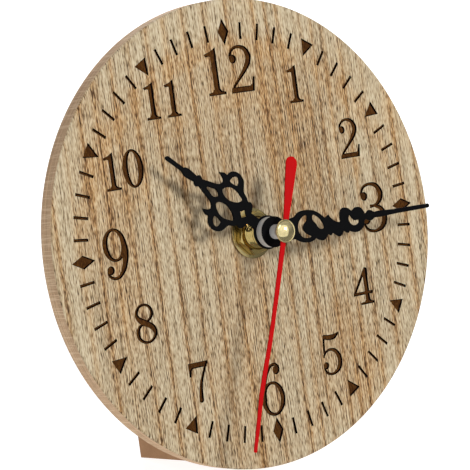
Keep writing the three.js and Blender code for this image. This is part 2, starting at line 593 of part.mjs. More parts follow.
function addTrain() {
  const rotorGroup = turningGroup(...ROTOR_AXIS);
  const intermediateGroup = turningGroup(...INTERMEDIATE_AXIS);
  const thirdGroup = turningGroup(...THIRD_AXIS);
  const motionGroup = turningGroup(...MOTION_AXIS);
  const arborRadius = 0.6;

  const rotorPinion = join(
    arborBetweenPlates(arborRadius),
    plate(gear(TEETH.rotor, ROTOR_MODULE, rotorMesh.angleB), ...LAYER.rotorPinion),
  );
  piece("rotor_pinion", rotorPinion, material.acetal, rotorGroup);
  const { radius, bore, front, back } = ROTOR_MAGNET;
  piece("rotor_magnet", ring(radius, bore, front, back), material.magnet, rotorGroup);

  const intermediate = join(
    arborBetweenPlates(arborRadius),
    plate(gear(TEETH.intermediateWheel, ROTOR_MODULE, rotorMesh.angleA), ...LAYER.intermediateWheel),
    plate(
      gear(TEETH.intermediatePinion, SECOND_MODULE, intermediateMesh.angleB),
      ...LAYER.intermediatePinion,
    ),
  );
  piece("intermediate_wheel", intermediate, material.acetal, intermediateGroup);

  const third = join(
    arborBetweenPlates(arborRadius),
    plate(gear(TEETH.thirdWheel, thirdModule, thirdMesh.angleA + Math.PI), ...LAYER.thirdWheel),
    plate(gear(TEETH.thirdPinion, CENTRE_MODULE, thirdMesh.angleA + Math.PI), ...LAYER.thirdPinion),
  );
  piece("third_wheel", third, material.acetal, thirdGroup);

  const secondBore = SECOND_ARBOR.radius + PRESS_GAP;
  const secondGap = Math.PI / TEETH.secondPinion;
  const secondWheel = join(
    plate(gear(TEETH.secondWheel, SECOND_MODULE, intermediateMesh.angleA, secondBore), ...LAYER.secondWheel),
    plate(
      gear(TEETH.secondPinion, thirdModule, thirdMesh.angleA + secondGap, secondBore),
      LAYER.secondPinion[0],
      LAYER.secondWheel[0] + OVERLAP,
    ),
  );
  piece("second_wheel", secondWheel, material.acetal);
  const shoulder = BRIDGE.front - END_SHAKE;
  const secondArbor = turned([
    [0, SECOND_ARBOR.front],
    [SECOND_ARBOR.radius, SECOND_ARBOR.front],
    [SECOND_ARBOR.radius, shoulder],
    [PIVOT.radius, shoulder],
    [PIVOT.radius, BRIDGE.back],
    [0, BRIDGE.back],
  ]);
  piece("second_arbor", secondArbor, material.steel);

  const centreGap = Math.PI / TEETH.centreWheel;
  const centreBore = CANNON.radius + PRESS_GAP;
  const centreOutline = gear(TEETH.centreWheel, CENTRE_MODULE, thirdMesh.angleA + centreGap, centreBore);
  piece("centre_wheel", plate(centreOutline, ...LAYER.centreWheel), material.acetal);

  const flangeFront = LAYER.centreWheel[1] + PRESS_GAP;
  const flangeBack = flangeFront + CANNON.flangeDepth;
  const cannonSleeve = rod(CANNON.radius, CANNON.front, flangeBack);
  const cannonFlange = rod(CANNON.flange, flangeFront, flangeBack);
  const cannonTeeth = plate(gear(TEETH.cannon, MOTION_MODULE, motionMesh.angleA), ...LAYER.cannon);
  const cannonBore = rod(CANNON.bore, CANNON.front - 1, flangeBack + 1);
  piece("minute_cannon", cut(join(cannonSleeve, cannonFlange, cannonTeeth), cannonBore), material.acetal);

  const motion = join(
    turned([
      [0, PIVOT.front],
      [PIVOT.radius, PIVOT.front],
      [PIVOT.radius, CASE_FLOOR + END_SHAKE],
      [MOTION_ARBOR.radius, CASE_FLOOR + END_SHAKE],
      [MOTION_ARBOR.radius, BRIDGE.front - MOTION_ARBOR.step],
      [MOTION_ARBOR.knobRadius, BRIDGE.front - MOTION_ARBOR.step],
      [MOTION_ARBOR.knobRadius, MOTION_ARBOR.back],
      [0, MOTION_ARBOR.back],
    ]),
    plate(gear(TEETH.motionWheel, MOTION_MODULE, motionMesh.angleB), ...LAYER.motionWheel),
    plate(gear(TEETH.motionPinion, hourModule, motionMesh.angleA + Math.PI), ...LAYER.motionPinion),
  );
  piece("motion_wheel", motion, material.acetal, motionGroup);

  const hourGap = Math.PI / TEETH.hourWheel;
  const hourSleeve = rod(HOUR_TUBE.radius, HOUR_TUBE.front, LAYER.hourWheel[1]);
  const hourTeeth = plate(gear(TEETH.hourWheel, hourModule, motionMesh.angleA + hourGap), ...LAYER.hourWheel);
  const hourBore = rod(HOUR_TUBE.bore, HOUR_TUBE.front - 1, LAYER.hourWheel[1] + 1);
  piece("hour_wheel", cut(join(hourSleeve, hourTeeth), hourBore), material.acetal);

  const grip = [];
  const gripSteps = KNOB.lobes * KNOB.lobeSteps;
  for (let step = 0; step < gripSteps; step += 1) {
    const angle = (2 * Math.PI * step) / gripSteps;
    const reach = KNOB.radius - KNOB.grip * (1 - Math.cos(KNOB.lobes * angle));
    grip.push(new THREE.Vector2(reach * Math.cos(angle), reach * Math.sin(angle)));
  }
  const socket = rod(KNOB.bore, KNOB.front - 1, MOTION_ARBOR.back + CLEARANCE);
  const knob = plate(new THREE.Shape(grip), KNOB.front, KNOB.back);
  piece("setting_knob", cut(knob, socket), material.casing, motionGroup);
}

// Stepping motor, circuit and battery
function addMotor() {
  const { left, right, bottom, top } = STATOR;
  const outline = new THREE.Shape();
  outline.moveTo(left, bottom);
  outline.lineTo(right, bottom);
  outline.lineTo(right, STATOR_EAR.top);
  outline.lineTo(right - STATOR_EAR.width, STATOR_EAR.top);
  outline.lineTo(right - STATOR_EAR.width, top);
  outline.lineTo(left + STATOR_EAR.width, top);
  outline.lineTo(left + STATOR_EAR.width, STATOR_EAR.top);
  outline.lineTo(left, STATOR_EAR.top);
  outline.holes.push(circle(STATOR_HOLE, ...ROTOR_AXIS));
  piece("stator_plate", plate(outline, STATOR.front, STATOR.back), material.steel);

  const coreHalf = COIL_CORE.height / 2;
  const core = new THREE.Shape();
  core.moveTo(left, COIL.z - coreHalf);
  core.lineTo(right, COIL.z - coreHalf);
  core.lineTo(right, COIL.z + coreHalf);
  core.lineTo(left, COIL.z + coreHalf);
  piece("coil_core", plate(core, COIL_CORE.front, COIL_CORE.back), material.steel);

  const end = COIL.length / 2;
  const spool = turned([
    [0, -end],
    [COIL.flange, -end],
    [COIL.flange, -end + COIL.flangeWidth],
    [COIL.winding, -end + COIL.flangeWidth],
    [COIL.winding, end - COIL.flangeWidth],
    [COIL.flange, end - COIL.flangeWidth],
    [COIL.flange, end],
    [0, end],
  ]);
  const coreY = (COIL_CORE.front + COIL_CORE.back) / 2;
  spool.rotateZ(Math.PI / 2).translate((left + right) / 2, coreY, COIL.z);
  const slotDepth = COIL_CORE.back - COIL_CORE.front + 2 * COIL_CORE.slack;
  const slotHeight = COIL_CORE.height + 2 * COIL_CORE.slack;
  const slot = new THREE.BoxGeometry(COIL.length + 2, slotDepth, slotHeight);
  slot.translate((left + right) / 2, coreY, COIL.z);
  piece("motor_coil", cut(spool, slot), material.copper);
}

function addCircuit() {
  const outline = roundedRectangle(BOARD.left, BOARD.bottom, BOARD.right, BOARD.top, BOARD.corner);
  piece("circuit_board", plate(outline, BOARD.front, BOARD.back, 2), material.circuit);
  const seat = BOARD.back + SOLDER_GAP;
  const dome = turned([
    [0, seat],
    [CHIP.radius, seat],
    [CHIP.radius * CHIP.shoulder, BOARD.back + CHIP.height * CHIP.shoulder],
    [0, BOARD.back + CHIP.height],
  ]);
  piece("clock_chip", at(dome, CHIP.x, CHIP.z), material.rubber);
  const can = rod(CRYSTAL.radius, -CRYSTAL.length / 2, CRYSTAL.length / 2);
  can.rotateZ(Math.PI / 2).translate(CRYSTAL.x, seat + CRYSTAL.radius, CRYSTAL.z);
  piece("quartz_crystal", can, material.steel);
}

function addBattery() {
  const end = CELL.length / 2;
  const cell = turned([
    [0, -end],
    [CELL.radius - CELL.edge, -end],
    [CELL.radius, -end + CELL.edge],
    [CELL.radius, end - CELL.edge],
    [CELL.radius - CELL.edge, end],
    [CELL.nub, end],
    [CELL.nub, end + CELL.nubLength],
    [0, end + CELL.nubLength],
  ]);
  cell.rotateZ(-Math.PI / 2).translate(-CELL.nubLength / 2, CELL.y, CELL.z);
  piece("battery_cell", cell, material.cell);

  // Each contact is a strip bent in plan: flat on the bay's end wall, bowed towards the cell
  for (const [name, side] of [["battery_contact_positive", 1], ["battery_contact_negative", -1]]) {
    const half = CONTACT.depth / 2;
    const bow = CONTACT.wallX - end - CELL.nubLength / 2 - 2 * CONTACT.sheet - CLEARANCE;
    const outer = CONTACT.wallX;
    const inner = CONTACT.wallX - CONTACT.sheet;
    const strip = new THREE.Shape();
    strip.moveTo(side * outer, -half);
    strip.quadraticCurveTo(side * (outer - 2 * bow), 0, side * outer, half);
    strip.lineTo(side * inner, half);
    strip.quadraticCurveTo(side * (inner - 2 * bow), 0, side * inner, -half);
    const bent = new THREE.ExtrudeGeometry(strip, {
      depth: CONTACT.height,
      bevelEnabled: false,
      curveSegments: 8,
    });
    bent.translate(0, CELL.y, CELL.z - CONTACT.height / 2);
    piece(name, bent, material.nickel);
  }
}

addBoard();
addClamp();
addHands();
addCase();
addTrain();
addMotor();
addCircuit();
addBattery();

// Lean the clock back onto the foot's rear edge and centre its box on the origin
const LEAN = Math.atan2(DIAL_RADIUS + FOOT_UNDERSIDE, FOOT_DEPTH + GLUE_LINE);
clock.rotation.x = -LEAN;
const box = new THREE.Box3().setFromObject(clock, true);
clock.position.set(0, -(box.min.y + box.max.y) / 2, -box.min.z);

const part = new THREE.Group();
part.add(clock);

export default part;
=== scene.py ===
"""Looks of a round wooden desk clock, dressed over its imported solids.

Shapes are drawn in the dial's own frame, in millimetres: X towards three o'clock, Y from the
viewer into the dial, Z towards twelve, zero at the centre of the dial's face.
"""

from functools import cached_property
import json
from math import acos, asin, atan2, cos, pi, radians, sin, sqrt

import bmesh
import bpy
import numpy as np
from mathutils import Euler, Matrix, Vector
from mathutils.geometry import delaunay_2d_cdt


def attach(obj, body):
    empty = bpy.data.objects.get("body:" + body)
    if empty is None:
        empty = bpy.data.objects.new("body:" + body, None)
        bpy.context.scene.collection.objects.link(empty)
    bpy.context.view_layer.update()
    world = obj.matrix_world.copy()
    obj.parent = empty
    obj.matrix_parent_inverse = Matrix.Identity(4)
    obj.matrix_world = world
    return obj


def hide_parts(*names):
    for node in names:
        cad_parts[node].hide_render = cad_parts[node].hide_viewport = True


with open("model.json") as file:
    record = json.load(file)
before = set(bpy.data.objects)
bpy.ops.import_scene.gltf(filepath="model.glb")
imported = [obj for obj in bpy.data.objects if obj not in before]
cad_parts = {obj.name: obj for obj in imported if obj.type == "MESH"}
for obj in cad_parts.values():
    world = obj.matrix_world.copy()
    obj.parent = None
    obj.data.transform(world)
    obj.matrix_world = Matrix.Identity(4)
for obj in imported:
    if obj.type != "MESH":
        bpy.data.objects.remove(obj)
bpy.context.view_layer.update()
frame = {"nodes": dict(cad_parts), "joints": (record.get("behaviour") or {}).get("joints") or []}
nodes = frame["nodes"]

# The dial's frame, from the joint that the second hand turns on
MM = 0.001
second_joint = next(j for j in frame["joints"] if j["name"] == "second_hand_turn")
INTO = Vector(second_joint["axis"]).normalized()
ACROSS = Vector((1, 0, 0))
UPWARD = ACROSS.cross(INTO)
CENTRE = Vector(second_joint["pos_m"])
TURN = Matrix((ACROSS, INTO, UPWARD)).transposed()
DIAL = Matrix.Translation(CENTRE) @ TURN.to_4x4() @ Matrix.Scale(MM, 4)
LEAN = atan2(-INTO.z, INTO.y)

# Sizes shared with the solids
DIAL_RADIUS = 60
DIAL_THICKNESS = 5
POST_HOLE = 4.1
HOUR_ANGLE = 309.0
MINUTE_ANGLE = 90.55
SECOND_ANGLE = 198.8
KNOB_AXIS = (8.7295, 5.04)

# The burnt marks
BURN_DEPTH = 0.5
BURN_EDGE = 0.22
BURN_SPREAD = 0.09
MARKS_CENTRE = (-0.14, 0.33)


# Node trees

def operators(operation):
    """An operator and its reflected form, each of which adds a Math node."""
    def forward(self, other):
        return self.graph.math(operation, self, other)

    def reflected(self, other):
        return self.graph.math(operation, other, self)

    return forward, reflected


class Wire:
    """One output of a node; arithmetic on it adds Math nodes to the same tree."""

    def __init__(self, graph, socket):
        self.graph = graph
        self.socket = socket

    __add__, __radd__ = operators("ADD")
    __sub__, __rsub__ = operators("SUBTRACT")
    __mul__, __rmul__ = operators("MULTIPLY")
    __truediv__, __rtruediv__ = operators("DIVIDE")

    def math(self, operation, *others):
        return self.graph.math(operation, self, *others)

    def above(self, low, high, way="SMOOTHSTEP"):
        """Nought below low, one above high, smooth or straight between."""
        sockets = {0: self, 1: low, 2: high}
        return self.graph.node("ShaderNodeMapRange", sockets, interpolation_type=way)


class Graph:
    """A node tree that nodes are added to by type, settings and socket values."""

    def __init__(self, tree):
        self.tree = tree

    def feed(self, socket, value):
        """Links a wire to a socket, or sets the socket's own value."""
        if isinstance(value, Wire):
            self.tree.links.new(value.socket, socket)
        else:
            socket.default_value = value

    def node(self, kind, sockets=None, output=0, stops=(), **settings):
        """Adds a node: first its settings and a ramp's stops, then its sockets."""
        made = self.tree.nodes.new(kind)
        for name, value in settings.items():
            setattr(made, name, value)
        elements = made.color_ramp.elements if stops else ()
        while len(elements) < len(stops):
            elements.new(1.0)
        for element, (place, shade) in zip(elements, stops):
            element.position = place
            element.color = (*shade, 1.0)
        for key, value in (sockets or {}).items():
            self.feed(made.inputs[key], value)
        return Wire(self, made.outputs[output]) if made.outputs else None

    def math(self, operation, *terms):
        return self.node("ShaderNodeMath", dict(enumerate(terms)), operation=operation)

    def vector(self, **parts):
        return self.node("ShaderNodeCombineXYZ", parts)

    def parts(self, vector):
        """The X, Y and Z of a vector."""
        x = self.node("ShaderNodeSeparateXYZ", {0: vector})
        return [Wire(self, part) for part in x.socket.node.outputs]

    def ramp(self, value, stops):
        """A colour that runs through its stops."""
        return self.node("ShaderNodeValToRGB", {0: value}, stops=stops)


class Finish(Graph):
    """A material on the dial's own millimetres."""

    def __init__(self, name):
        self.material = bpy.data.materials.new(name)
        self.material.use_nodes = True
        super().__init__(self.material.node_tree)

    @cached_property
    def place(self):
        """Where a point of the surface lies in the dial's frame."""
        off = TURN.transposed() @ CENTRE
        sockets = {
            "Vector": self.node("ShaderNodeTexCoord", output=3),
            "Location": [-c / MM for c in off],
            "Rotation": (LEAN, 0, 0),
            "Scale": (1 / MM, 1 / MM, 1 / MM),
        }
        return self.node("ShaderNodeMapping", sockets)

    def moved(self, place, operation, by):
        return self.node("ShaderNodeVectorMath", {0: place, 1: by}, operation=operation)

    def noise(self, place, rates, detail=2.0, rough=0.5, warp=0.0):
        """Noise with its own rate along each axis, or one rate along all."""
        rates = rates if isinstance(rates, tuple) else (rates,) * 3
        sockets = {
            "Vector": self.moved(place, "MULTIPLY", rates),
            "Scale": 1.0,
            "Detail": detail,
            "Roughness": rough,
            "Distortion": warp,
        }
        return self.node("ShaderNodeTexNoise", sockets)

    def mix(self, share, a, b):
        a, b = (c if isinstance(c, Wire) else (*c, 1.0) for c in (a, b))
        return self.node("ShaderNodeMix", {0: share, 6: a, 7: b}, output=2, data_type="RGBA")

    def bump(self, height, distance, strength):
        sockets = {"Height": height, "Distance": distance, "Strength": strength}
        return self.node("ShaderNodeBump", sockets)

    def paint(self, **sockets):
        shader = self.tree.nodes["Principled BSDF"]
        for key, value in sockets.items():
            self.feed(shader.inputs[key.replace("_", " ")], value)
        return self.material


def srgb(*levels):
    """Scene-linear colour of an eight-bit one."""
    shares = [level / 255 for level in levels]
    return tuple(s / 12.92 if s <= 0.04045 else ((s + 0.055) / 1.055) ** 2.4 for s in shares)


def scaled(colour, by):
    return tuple(by * c for c in colour)


# Finishes

# Where the brown lines of early wood cross the dial, in millimetres from its middle
EARLY_WOOD = [
    -64, -58.2, -52.4, -46.7, -42.0, -36.2, -30.3, -24.4, -18.7, -12.5, -5.6, 1.4, 10.5, 14.2,
    17.5, 24.7, 28.3, 31.7, 37.2, 43.4, 52.6, 58.4, 64,
]

# Soft patches of the face: share, x, z, half width and half height
BROWN_PATCHES = [
    (1.0, 15.5, 24.0, 10.0, 36.0), (0.8, 26.5, -38.0, 13.0, 22.0),
    (0.4, -40.5, 8.0, 14.0, 48.0), (0.6, -9.0, 30.0, 30.0, 26.0),
]
SMOKED_PATCHES = [
    (0.7, -0.5, 35.5, 9, 6), (0.7, -21, 31, 7, 5), (0.7, 21, 30, 6, 5),
    (0.7, -36, 15, 7, 6), (0.7, 36, 13.5, 6, 5),
]

# Smoke below the ring of marks: the ring's radius, how far it has run down, half its width
SMOKE_RADIUS, SMOKE_DROP, SMOKE_REACH = 51.4, 3.6, 4.0


def face_wood():
    """Wood sawn along the grain: pale late wood, brown lines of early wood, fine pores."""
    f = Finish("face_wood")
    sway = 3.0 * f.noise(f.place, (0.03, 0.0, 0.011)) - 1.5
    grain = f.moved(f.place, "ADD", f.vector(X=sway))
    across, _, along = f.parts(grain)

    def patches(rows):
        total = 0
        for share, x, z, wide, tall in rows:
            u, v = (across - x) / wide, (along - z) / tall
            total = total + share * (1 - u * u - v * v).above(0.0, 0.8)
        return total

    def away(drop):
        """Distance from a point so far below the dial's middle."""
        rise = along + drop
        return (across * across + rise * rise).math("SQRT")

    years = sum(across.above(*pair, "LINEAR") for pair in zip(EARLY_WOOD, EARLY_WOOD[1:]))
    beside = 6.0 * ((years + 0.5).math("FRACT") - 0.5).math("ABSOLUTE")
    kept = f.noise(grain, (0.16, 0.0, 0.012), detail=3.0, rough=0.6).above(0.3, 0.62)
    broken = f.noise(grain, (0.9, 0.0, 0.09), detail=3.0).above(0.34, 0.62)
    band = (1 - beside / 2.2).above(0.0, 1.0) * (0.35 + 0.65 * kept)
    core = (1 - beside).above(0.3, 0.85) * (0.3 + 0.7 * kept) * (0.4 + 0.6 * broken)
    zone = f.noise(grain, (0.06, 0.02, 0.01))
    line = f.noise(grain, (2.9, 0.2, 0.03), rough=0.65)
    fibre = f.noise(grain, (3.2, 0.5, 0.55), detail=1.0, rough=0.7)
    elsewhere = f.moved(grain, "ADD", (31.0, 0.0, 17.0))
    pore = f.noise(elsewhere, (4.2, 0.5, 0.2), detail=1.0).above(0.56, 0.68)
    burr = f.noise(grain, (0.06, 0.05, 0.018), detail=3.0).above(0.5, 0.64)
    brown = patches(BROWN_PATCHES)

    # smoke of the burning has run down from the marks, most of it in the upper half
    ring = (away(SMOKE_DROP) - SMOKE_RADIUS).math("ABSOLUTE") / SMOKE_REACH
    smoke = (1 - ring).above(0.0, 0.7) * (0.25 + 0.75 * along.above(-10.0, 20.0))
    smoke = smoke + patches(SMOKED_PATCHES)
    smoke = smoke * f.noise(grain, (0.35, 0.0, 0.06)).above(0.3, 0.62)
    # painted highlight: the face's outer band near the rim, over its upper part, is painted paler
    # and less brown, standing in for light falling there
    outer = away(0.0).above(50.0, 55.0) * along.above(-25.0, 15.0)

    ground = 0.65 + 0.3 * (0.5 - zone) - 0.04 * band - 0.26 * core - 0.06 * brown
    # the outer band's painted highlight is added to the tone here
    ground = ground + 1.9 * (0.5 - line) + 0.09 * outer
    tone = ground + 2.1 * (0.5 - fibre)
    tone = tone - pore * (0.2 + 0.2 * band + 0.15 * burr + 0.15 * brown)
    grey = f.ramp(tone, [
        (0.0, srgb(58, 43, 28)), (0.25, srgb(110, 90, 64)), (0.45, srgb(149, 130, 100)),
        (0.65, srgb(173, 155, 125)), (1.0, srgb(195, 181, 153)),
    ])
    tan = f.ramp(tone, [
        (0.0, srgb(58, 36, 18)), (0.25, srgb(112, 77, 42)), (0.45, srgb(150, 113, 70)),
        (0.65, srgb(174, 140, 95)), (1.0, srgb(198, 173, 134)),
    ])
    warm = 0.5 * band + 0.4 * core + 0.3 * burr + 0.45 * brown * (1 - outer) + 0.55 * smoke
    colour = f.mix(warm, grey, tan)
    rough = 0.6 + 0.2 * line
    relief = f.bump(line - fibre - pore, 0.00008, 0.6)
    return f.paint(Base_Color=colour, Roughness=rough, Normal=relief, Specular_IOR_Level=0.2)


def rim_wood():
    """The board's edge: pressed layers, dark specks and pale saw marks."""
    f = Finish("rim_wood")
    layer = f.noise(f.place, (0.06, 3.2, 0.06), detail=3.0, rough=0.6)
    speck = f.noise(f.place, 2.5)
    saw = f.noise(f.place, (2.6, 0.1, 2.6))
    base = f.mix(layer.above(0.36, 0.66), srgb(172, 140, 108), srgb(205, 172, 137))
    base = f.mix(speck.above(0.52, 0.72) * 0.5, base, srgb(146, 114, 83))
    base = f.mix(saw.above(0.48, 0.64) * 0.5, base, srgb(222, 196, 163))
    relief = f.bump(layer + speck * 0.5, 0.0001, 0.5)
    return f.paint(Base_Color=base, Roughness=0.78, Normal=relief, Specular_IOR_Level=0.25)


def fibreboard(name, dark, light):
    f = Finish(name)
    cloud = f.noise(f.place, 0.08, detail=3.0, rough=0.6)
    fibre = f.noise(f.place, 1.6, detail=4.0, rough=0.7, warp=2.0)
    speck = f.noise(f.place, 5.0, rough=0.6)
    base = f.mix(0.25 + 0.5 * cloud.above(0.3, 0.7), dark, light)
    base = f.mix(fibre.above(0.54, 0.72) * 0.35, base, scaled(dark, 0.6))
    base = f.mix((1 - fibre).above(0.56, 0.72) * 0.3, base, scaled(light, 1.25))
    base = f.mix(speck.above(0.6, 0.72) * 0.4, base, scaled(dark, 0.5))
    relief = f.bump(fibre + speck, 0.00008, 0.5)
    return f.paint(Base_Color=base, Roughness=0.85, Normal=relief, Specular_IOR_Level=0.2)


def burnt(name, dark, light):
    f = Finish(name)
    char = f.noise(f.place, (3.0, 3.0, 1.2), detail=3.0, rough=0.7)
    line = f.noise(f.place, (6.0, 1.0, 0.5), detail=1.0)
    base = f.mix(char.above(0.35, 0.7), dark, light)
    base = f.mix(line.above(0.5, 0.75) * 0.4, base, dark)
    relief = f.bump(char, 0.0001, 0.7)
    return f.paint(Base_Color=base, Roughness=0.9, Normal=relief, Specular_IOR_Level=0.05)


def metal(name, colour, smooth, dull, rate=(1.5, 1.5, 1.5), patina=0.72):
    """Metal between its smoothest and dullest roughness; patina is how dark its worn spots are."""
    f = Finish(name)
    wear = f.noise(f.place, rate, detail=3.0, rough=0.6)
    fine = f.noise(f.place, scaled(rate, 9), detail=1.0)
    base = f.mix(wear.above(0.35, 0.7) * 0.5, colour, scaled(colour, patina))
    rough = smooth + (dull - smooth) * wear.above(0.3, 0.75)
    relief = f.bump(fine, 0.000004, 0.4)
    return f.paint(Base_Color=base, Roughness=rough, Metallic=1.0, Normal=relief)


def lacquer(name, colour, rough, shine, dusty=0.25):
    """Smooth paint with a little dust on it."""
    f = Finish(name)
    peel = f.noise(f.place, 1.6)
    dust = f.noise(f.place, 14.0, detail=1.0)
    dusted = tuple(min(1.0, 1.6 * c + 0.01) for c in colour)
    base = f.mix(dust.above(0.62, 0.78) * dusty, colour, dusted)
    relief = f.bump(peel, 0.00002, 0.35)
    rough = rough + 0.14 * peel
    return f.paint(Base_Color=base, Roughness=rough, Normal=relief, Specular_IOR_Level=shine)


def moulded(name, colour, rough, grain):
    """Plastic, rubber or resin with a pebbled grain of so many waves to the millimetre."""
    f = Finish(name)
    pebble = f.noise(f.place, grain)
    flow = f.noise(f.place, 0.12)
    base = f.mix(flow.above(0.35, 0.7), colour, scaled(colour, 0.82))
    relief = f.bump(pebble, 0.00003, 0.5)
    rough = rough + 0.18 * pebble
    return f.paint(Base_Color=base, Roughness=rough, Normal=relief, Specular_IOR_Level=0.3)


look = {
    "face": face_wood(),
    "rim": rim_wood(),
    "back": fibreboard("back_board", srgb(138, 107, 77), srgb(154, 121, 88)),
    "foot": fibreboard("foot_board", srgb(158, 118, 85), srgb(184, 142, 105)),
    "burn": burnt("burnt_floor", srgb(51, 29, 10), srgb(88, 53, 20)),
    "char": burnt("burnt_edge", srgb(4, 2, 1), srgb(15, 8, 5)),
    "brass": metal("polished_brass", srgb(229, 213, 160), 0.09, 0.18),
    "clamp": metal("satin_brass", srgb(180, 163, 113), 0.15, 0.24, patina=0.88),
    "nut": metal("turned_brass", srgb(190, 168, 107), 0.07, 0.15, patina=0.85),
    "black": lacquer("black_lacquer", (0.002, 0.0021, 0.0024), 0.36, 0.045),
    "red": lacquer("red_lacquer", srgb(173, 9, 11), 0.42, 0.05),
    "collar": moulded("grey_collar", srgb(186, 184, 180), 0.34, 3.0),
    "casing": moulded("black_casing", (0.03, 0.03, 0.032), 0.42, 5.0),
    "acetal": moulded("white_acetal", srgb(226, 221, 206), 0.38, 4.0),
    "rubber": moulded("black_rubber", (0.012, 0.012, 0.012), 0.72, 6.0),
    "steel": metal("bright_steel", (0.56, 0.57, 0.58), 0.22, 0.38),
    "nickel": metal("nickel_plate", (0.66, 0.63, 0.57), 0.18, 0.32),
    "copper": metal("copper_wire", (0.56, 0.23, 0.10), 0.28, 0.42, (0.4, 6.0, 6.0)),
    "magnet": metal("dark_magnet", (0.08, 0.08, 0.085), 0.42, 0.6),
    "circuit": moulded("green_mask", srgb(38, 92, 52), 0.34, 3.0),
    "resin": moulded("black_resin", (0.01, 0.01, 0.01), 0.3, 2.0),
    "sleeve": lacquer("blue_sleeve", srgb(30, 62, 104), 0.22, 0.5, 0.06),
    "band": lacquer("pale_band", srgb(176, 180, 182), 0.22, 0.5, 0.06),
}


# Flat outlines as rows of dial x and z

def spline(points, closed=False, steps=6):
    """A smooth run through its points; a third column is carried along."""
    p = np.asarray(points, float)
    last = len(p) - 1
    run = []
    for i in range(len(p) if closed else last):
        if closed:
            a, b, c, d = (p[(i + k) % len(p)] for k in (-1, 0, 1, 2))
        else:
            a, b, c, d = p[max(i - 1, 0)], p[i], p[i + 1], p[min(i + 2, last)]
        u, v = (c - a) / 2, (d - b) / 2
        for t in np.arange(steps) / steps:
            cubic, square = 2 * b - 2 * c + u + v, 3 * c - 3 * b - 2 * u - v
            run.append(cubic * t**3 + square * t**2 + u * t + b)
    if not closed:
        run.append(p[last])
    return np.array(run)


def arc(x, z, radius, start, end, steps=24):
    angle = np.linspace(start, end, steps + 1)
    return np.stack((x + radius * np.cos(angle), z + radius * np.sin(angle)), 1)


def circle(radius, x=0, z=0, steps=64):
    return arc(x, z, radius, 0, 2 * pi, steps)[:-1]


def stretches(start, runs):
    """Smooth runs that meet in corners, from a start point on; a run of one point is straight."""
    rows = [np.asarray(start, float)[None]]
    for run in runs:
        rows.append(spline([rows[-1][-1], *run], steps=6 if len(run) > 1 else 1)[1:])
    return np.concatenate(rows)


def tidy_loop(*rows):
    """Rows joined into one loop, counter-clockwise, without doubled points."""
    loop = np.concatenate(rows)
    gap = np.linalg.norm(loop - np.roll(loop, 1, 0), axis=1)
    loop = loop[gap > 1e-4]
    x, z = loop.T
    turn = np.sum(x * np.roll(z, -1) - z * np.roll(x, -1))
    return loop if turn > 0 else loop[::-1]


def inset(loop, depth):
    """The loop moved to its left, which is inward for a counter-clockwise one."""
    ahead = np.roll(loop, -1, 0) - loop
    ahead = ahead / np.linalg.norm(ahead, axis=1)[:, None]
    after = np.stack((-ahead[:, 1], ahead[:, 0]), 1)
    before = np.roll(after, 1, 0)
    sharpest = 0.25
    spread = np.maximum(1 + np.sum(before * after, 1), sharpest)
    return loop + depth * (before + after) / spread[:, None]


def numbered(loops):
    """Point numbers of loops whose points stand in one row."""
    ends = np.cumsum([len(loop) for loop in loops])
    return [list(range(end - len(loop), end)) for loop, end in zip(loops, ends)]


def bridge(nears, fars):
    """Faces between pairs of rings of point numbers."""
    faces = []
    for near, far in zip(nears, fars):
        faces += zip(far, far[1:] + far[:1], near[1:] + near[:1], near)
    return faces


def fill(loops):
    """Triangles inside the first loop and outside the others, as point numbers."""
    points = [Vector(p) for loop in loops for p in loop]
    outer, *inner = numbered(loops)
    faces = [outer, *(ring[::-1] for ring in inner)]
    _, _, triangles, origin, _, owners = delaunay_2d_cdt(points, [], faces, 1, 1e-7)
    inside = [t for t, owner in zip(triangles, owners) if list(owner) == [0]]
    return [tuple(origin[i][0] for i in t) for t in inside]


# Meshes in dial millimetres

def mesh_of(name, points, faces, finishes, marks=None):
    mesh = bpy.data.meshes.new(name)
    mesh.from_pydata([tuple(map(float, p)) for p in points], [], faces)
    for finish in finishes:
        mesh.materials.append(finish)
    if marks is not None:
        mesh.polygons.foreach_set("material_index", marks)
    return mesh


def plate(name, outer, holes, front, back, arris, finish):
    """A flat plate with softened edges, front and back."""
    loops = [outer, *(hole[::-1] for hole in holes)]
    inner = [inset(loop, arris) for loop in loops]
    levels = [(inner, front), (loops, front + arris), (loops, back - arris), (inner, back)]
    points = [(x, y, z) for level, y in levels for loop in level for x, z in loop]
    rings = numbered(loops * len(levels))
    faces = bridge(rings, rings[len(loops):])
    cap = fill(inner)
    last = len(points) - sum(map(len, loops))
    faces += cap + [tuple(last + i for i in reversed(t)) for t in cap]
    return mesh_of(name, points, faces, [finish])


def soften(profile, radius):
    """A turning profile with its corners rounded off, at most so much of the sides beside them."""
    share = 0.45
    p = np.asarray(profile, float)
    closed = p[0, 0] > 0
    rows = []
    for i, here in enumerate(p):
        if not closed and i in (0, len(p) - 1):
            rows.append(here)
            continue
        back, ahead = p[i - 1] - here, p[(i + 1) % len(p)] - here
        room = [np.linalg.norm(v) for v in (back, ahead)]
        reach = min(radius, share * min(room))
        a, b = here + back / room[0] * reach, here + ahead / room[1] * reach
        rows += [a, 0.25 * a + 0.5 * here + 0.25 * b, b]
    return rows


def turned(name, profile, finishes, sides=96, bands=None):
    """A profile of radius and y turned about the dial's axis; bands number the finishes."""
    closed = profile[0][0] > 0
    points = []
    rings = []
    for radius, y in profile:
        if radius < 1e-6:
            rings.append([len(points)] * sides)
            points.append((0, y, 0))
            continue
        rings.append(list(range(len(points), len(points) + sides)))
        points += [(x, y, z) for x, z in circle(radius, steps=sides)]
    faces = []
    marks = []
    for k in range(len(rings) if closed else len(rings) - 1):
        for quad in bridge([rings[(k + 1) % len(rings)]], [rings[k]]):
            face = list(dict.fromkeys(quad))
            if len(face) > 2:
                faces.append(face)
                marks.append(bands[k] if bands else 0)
    return mesh_of(name, points, faces, finishes, marks)


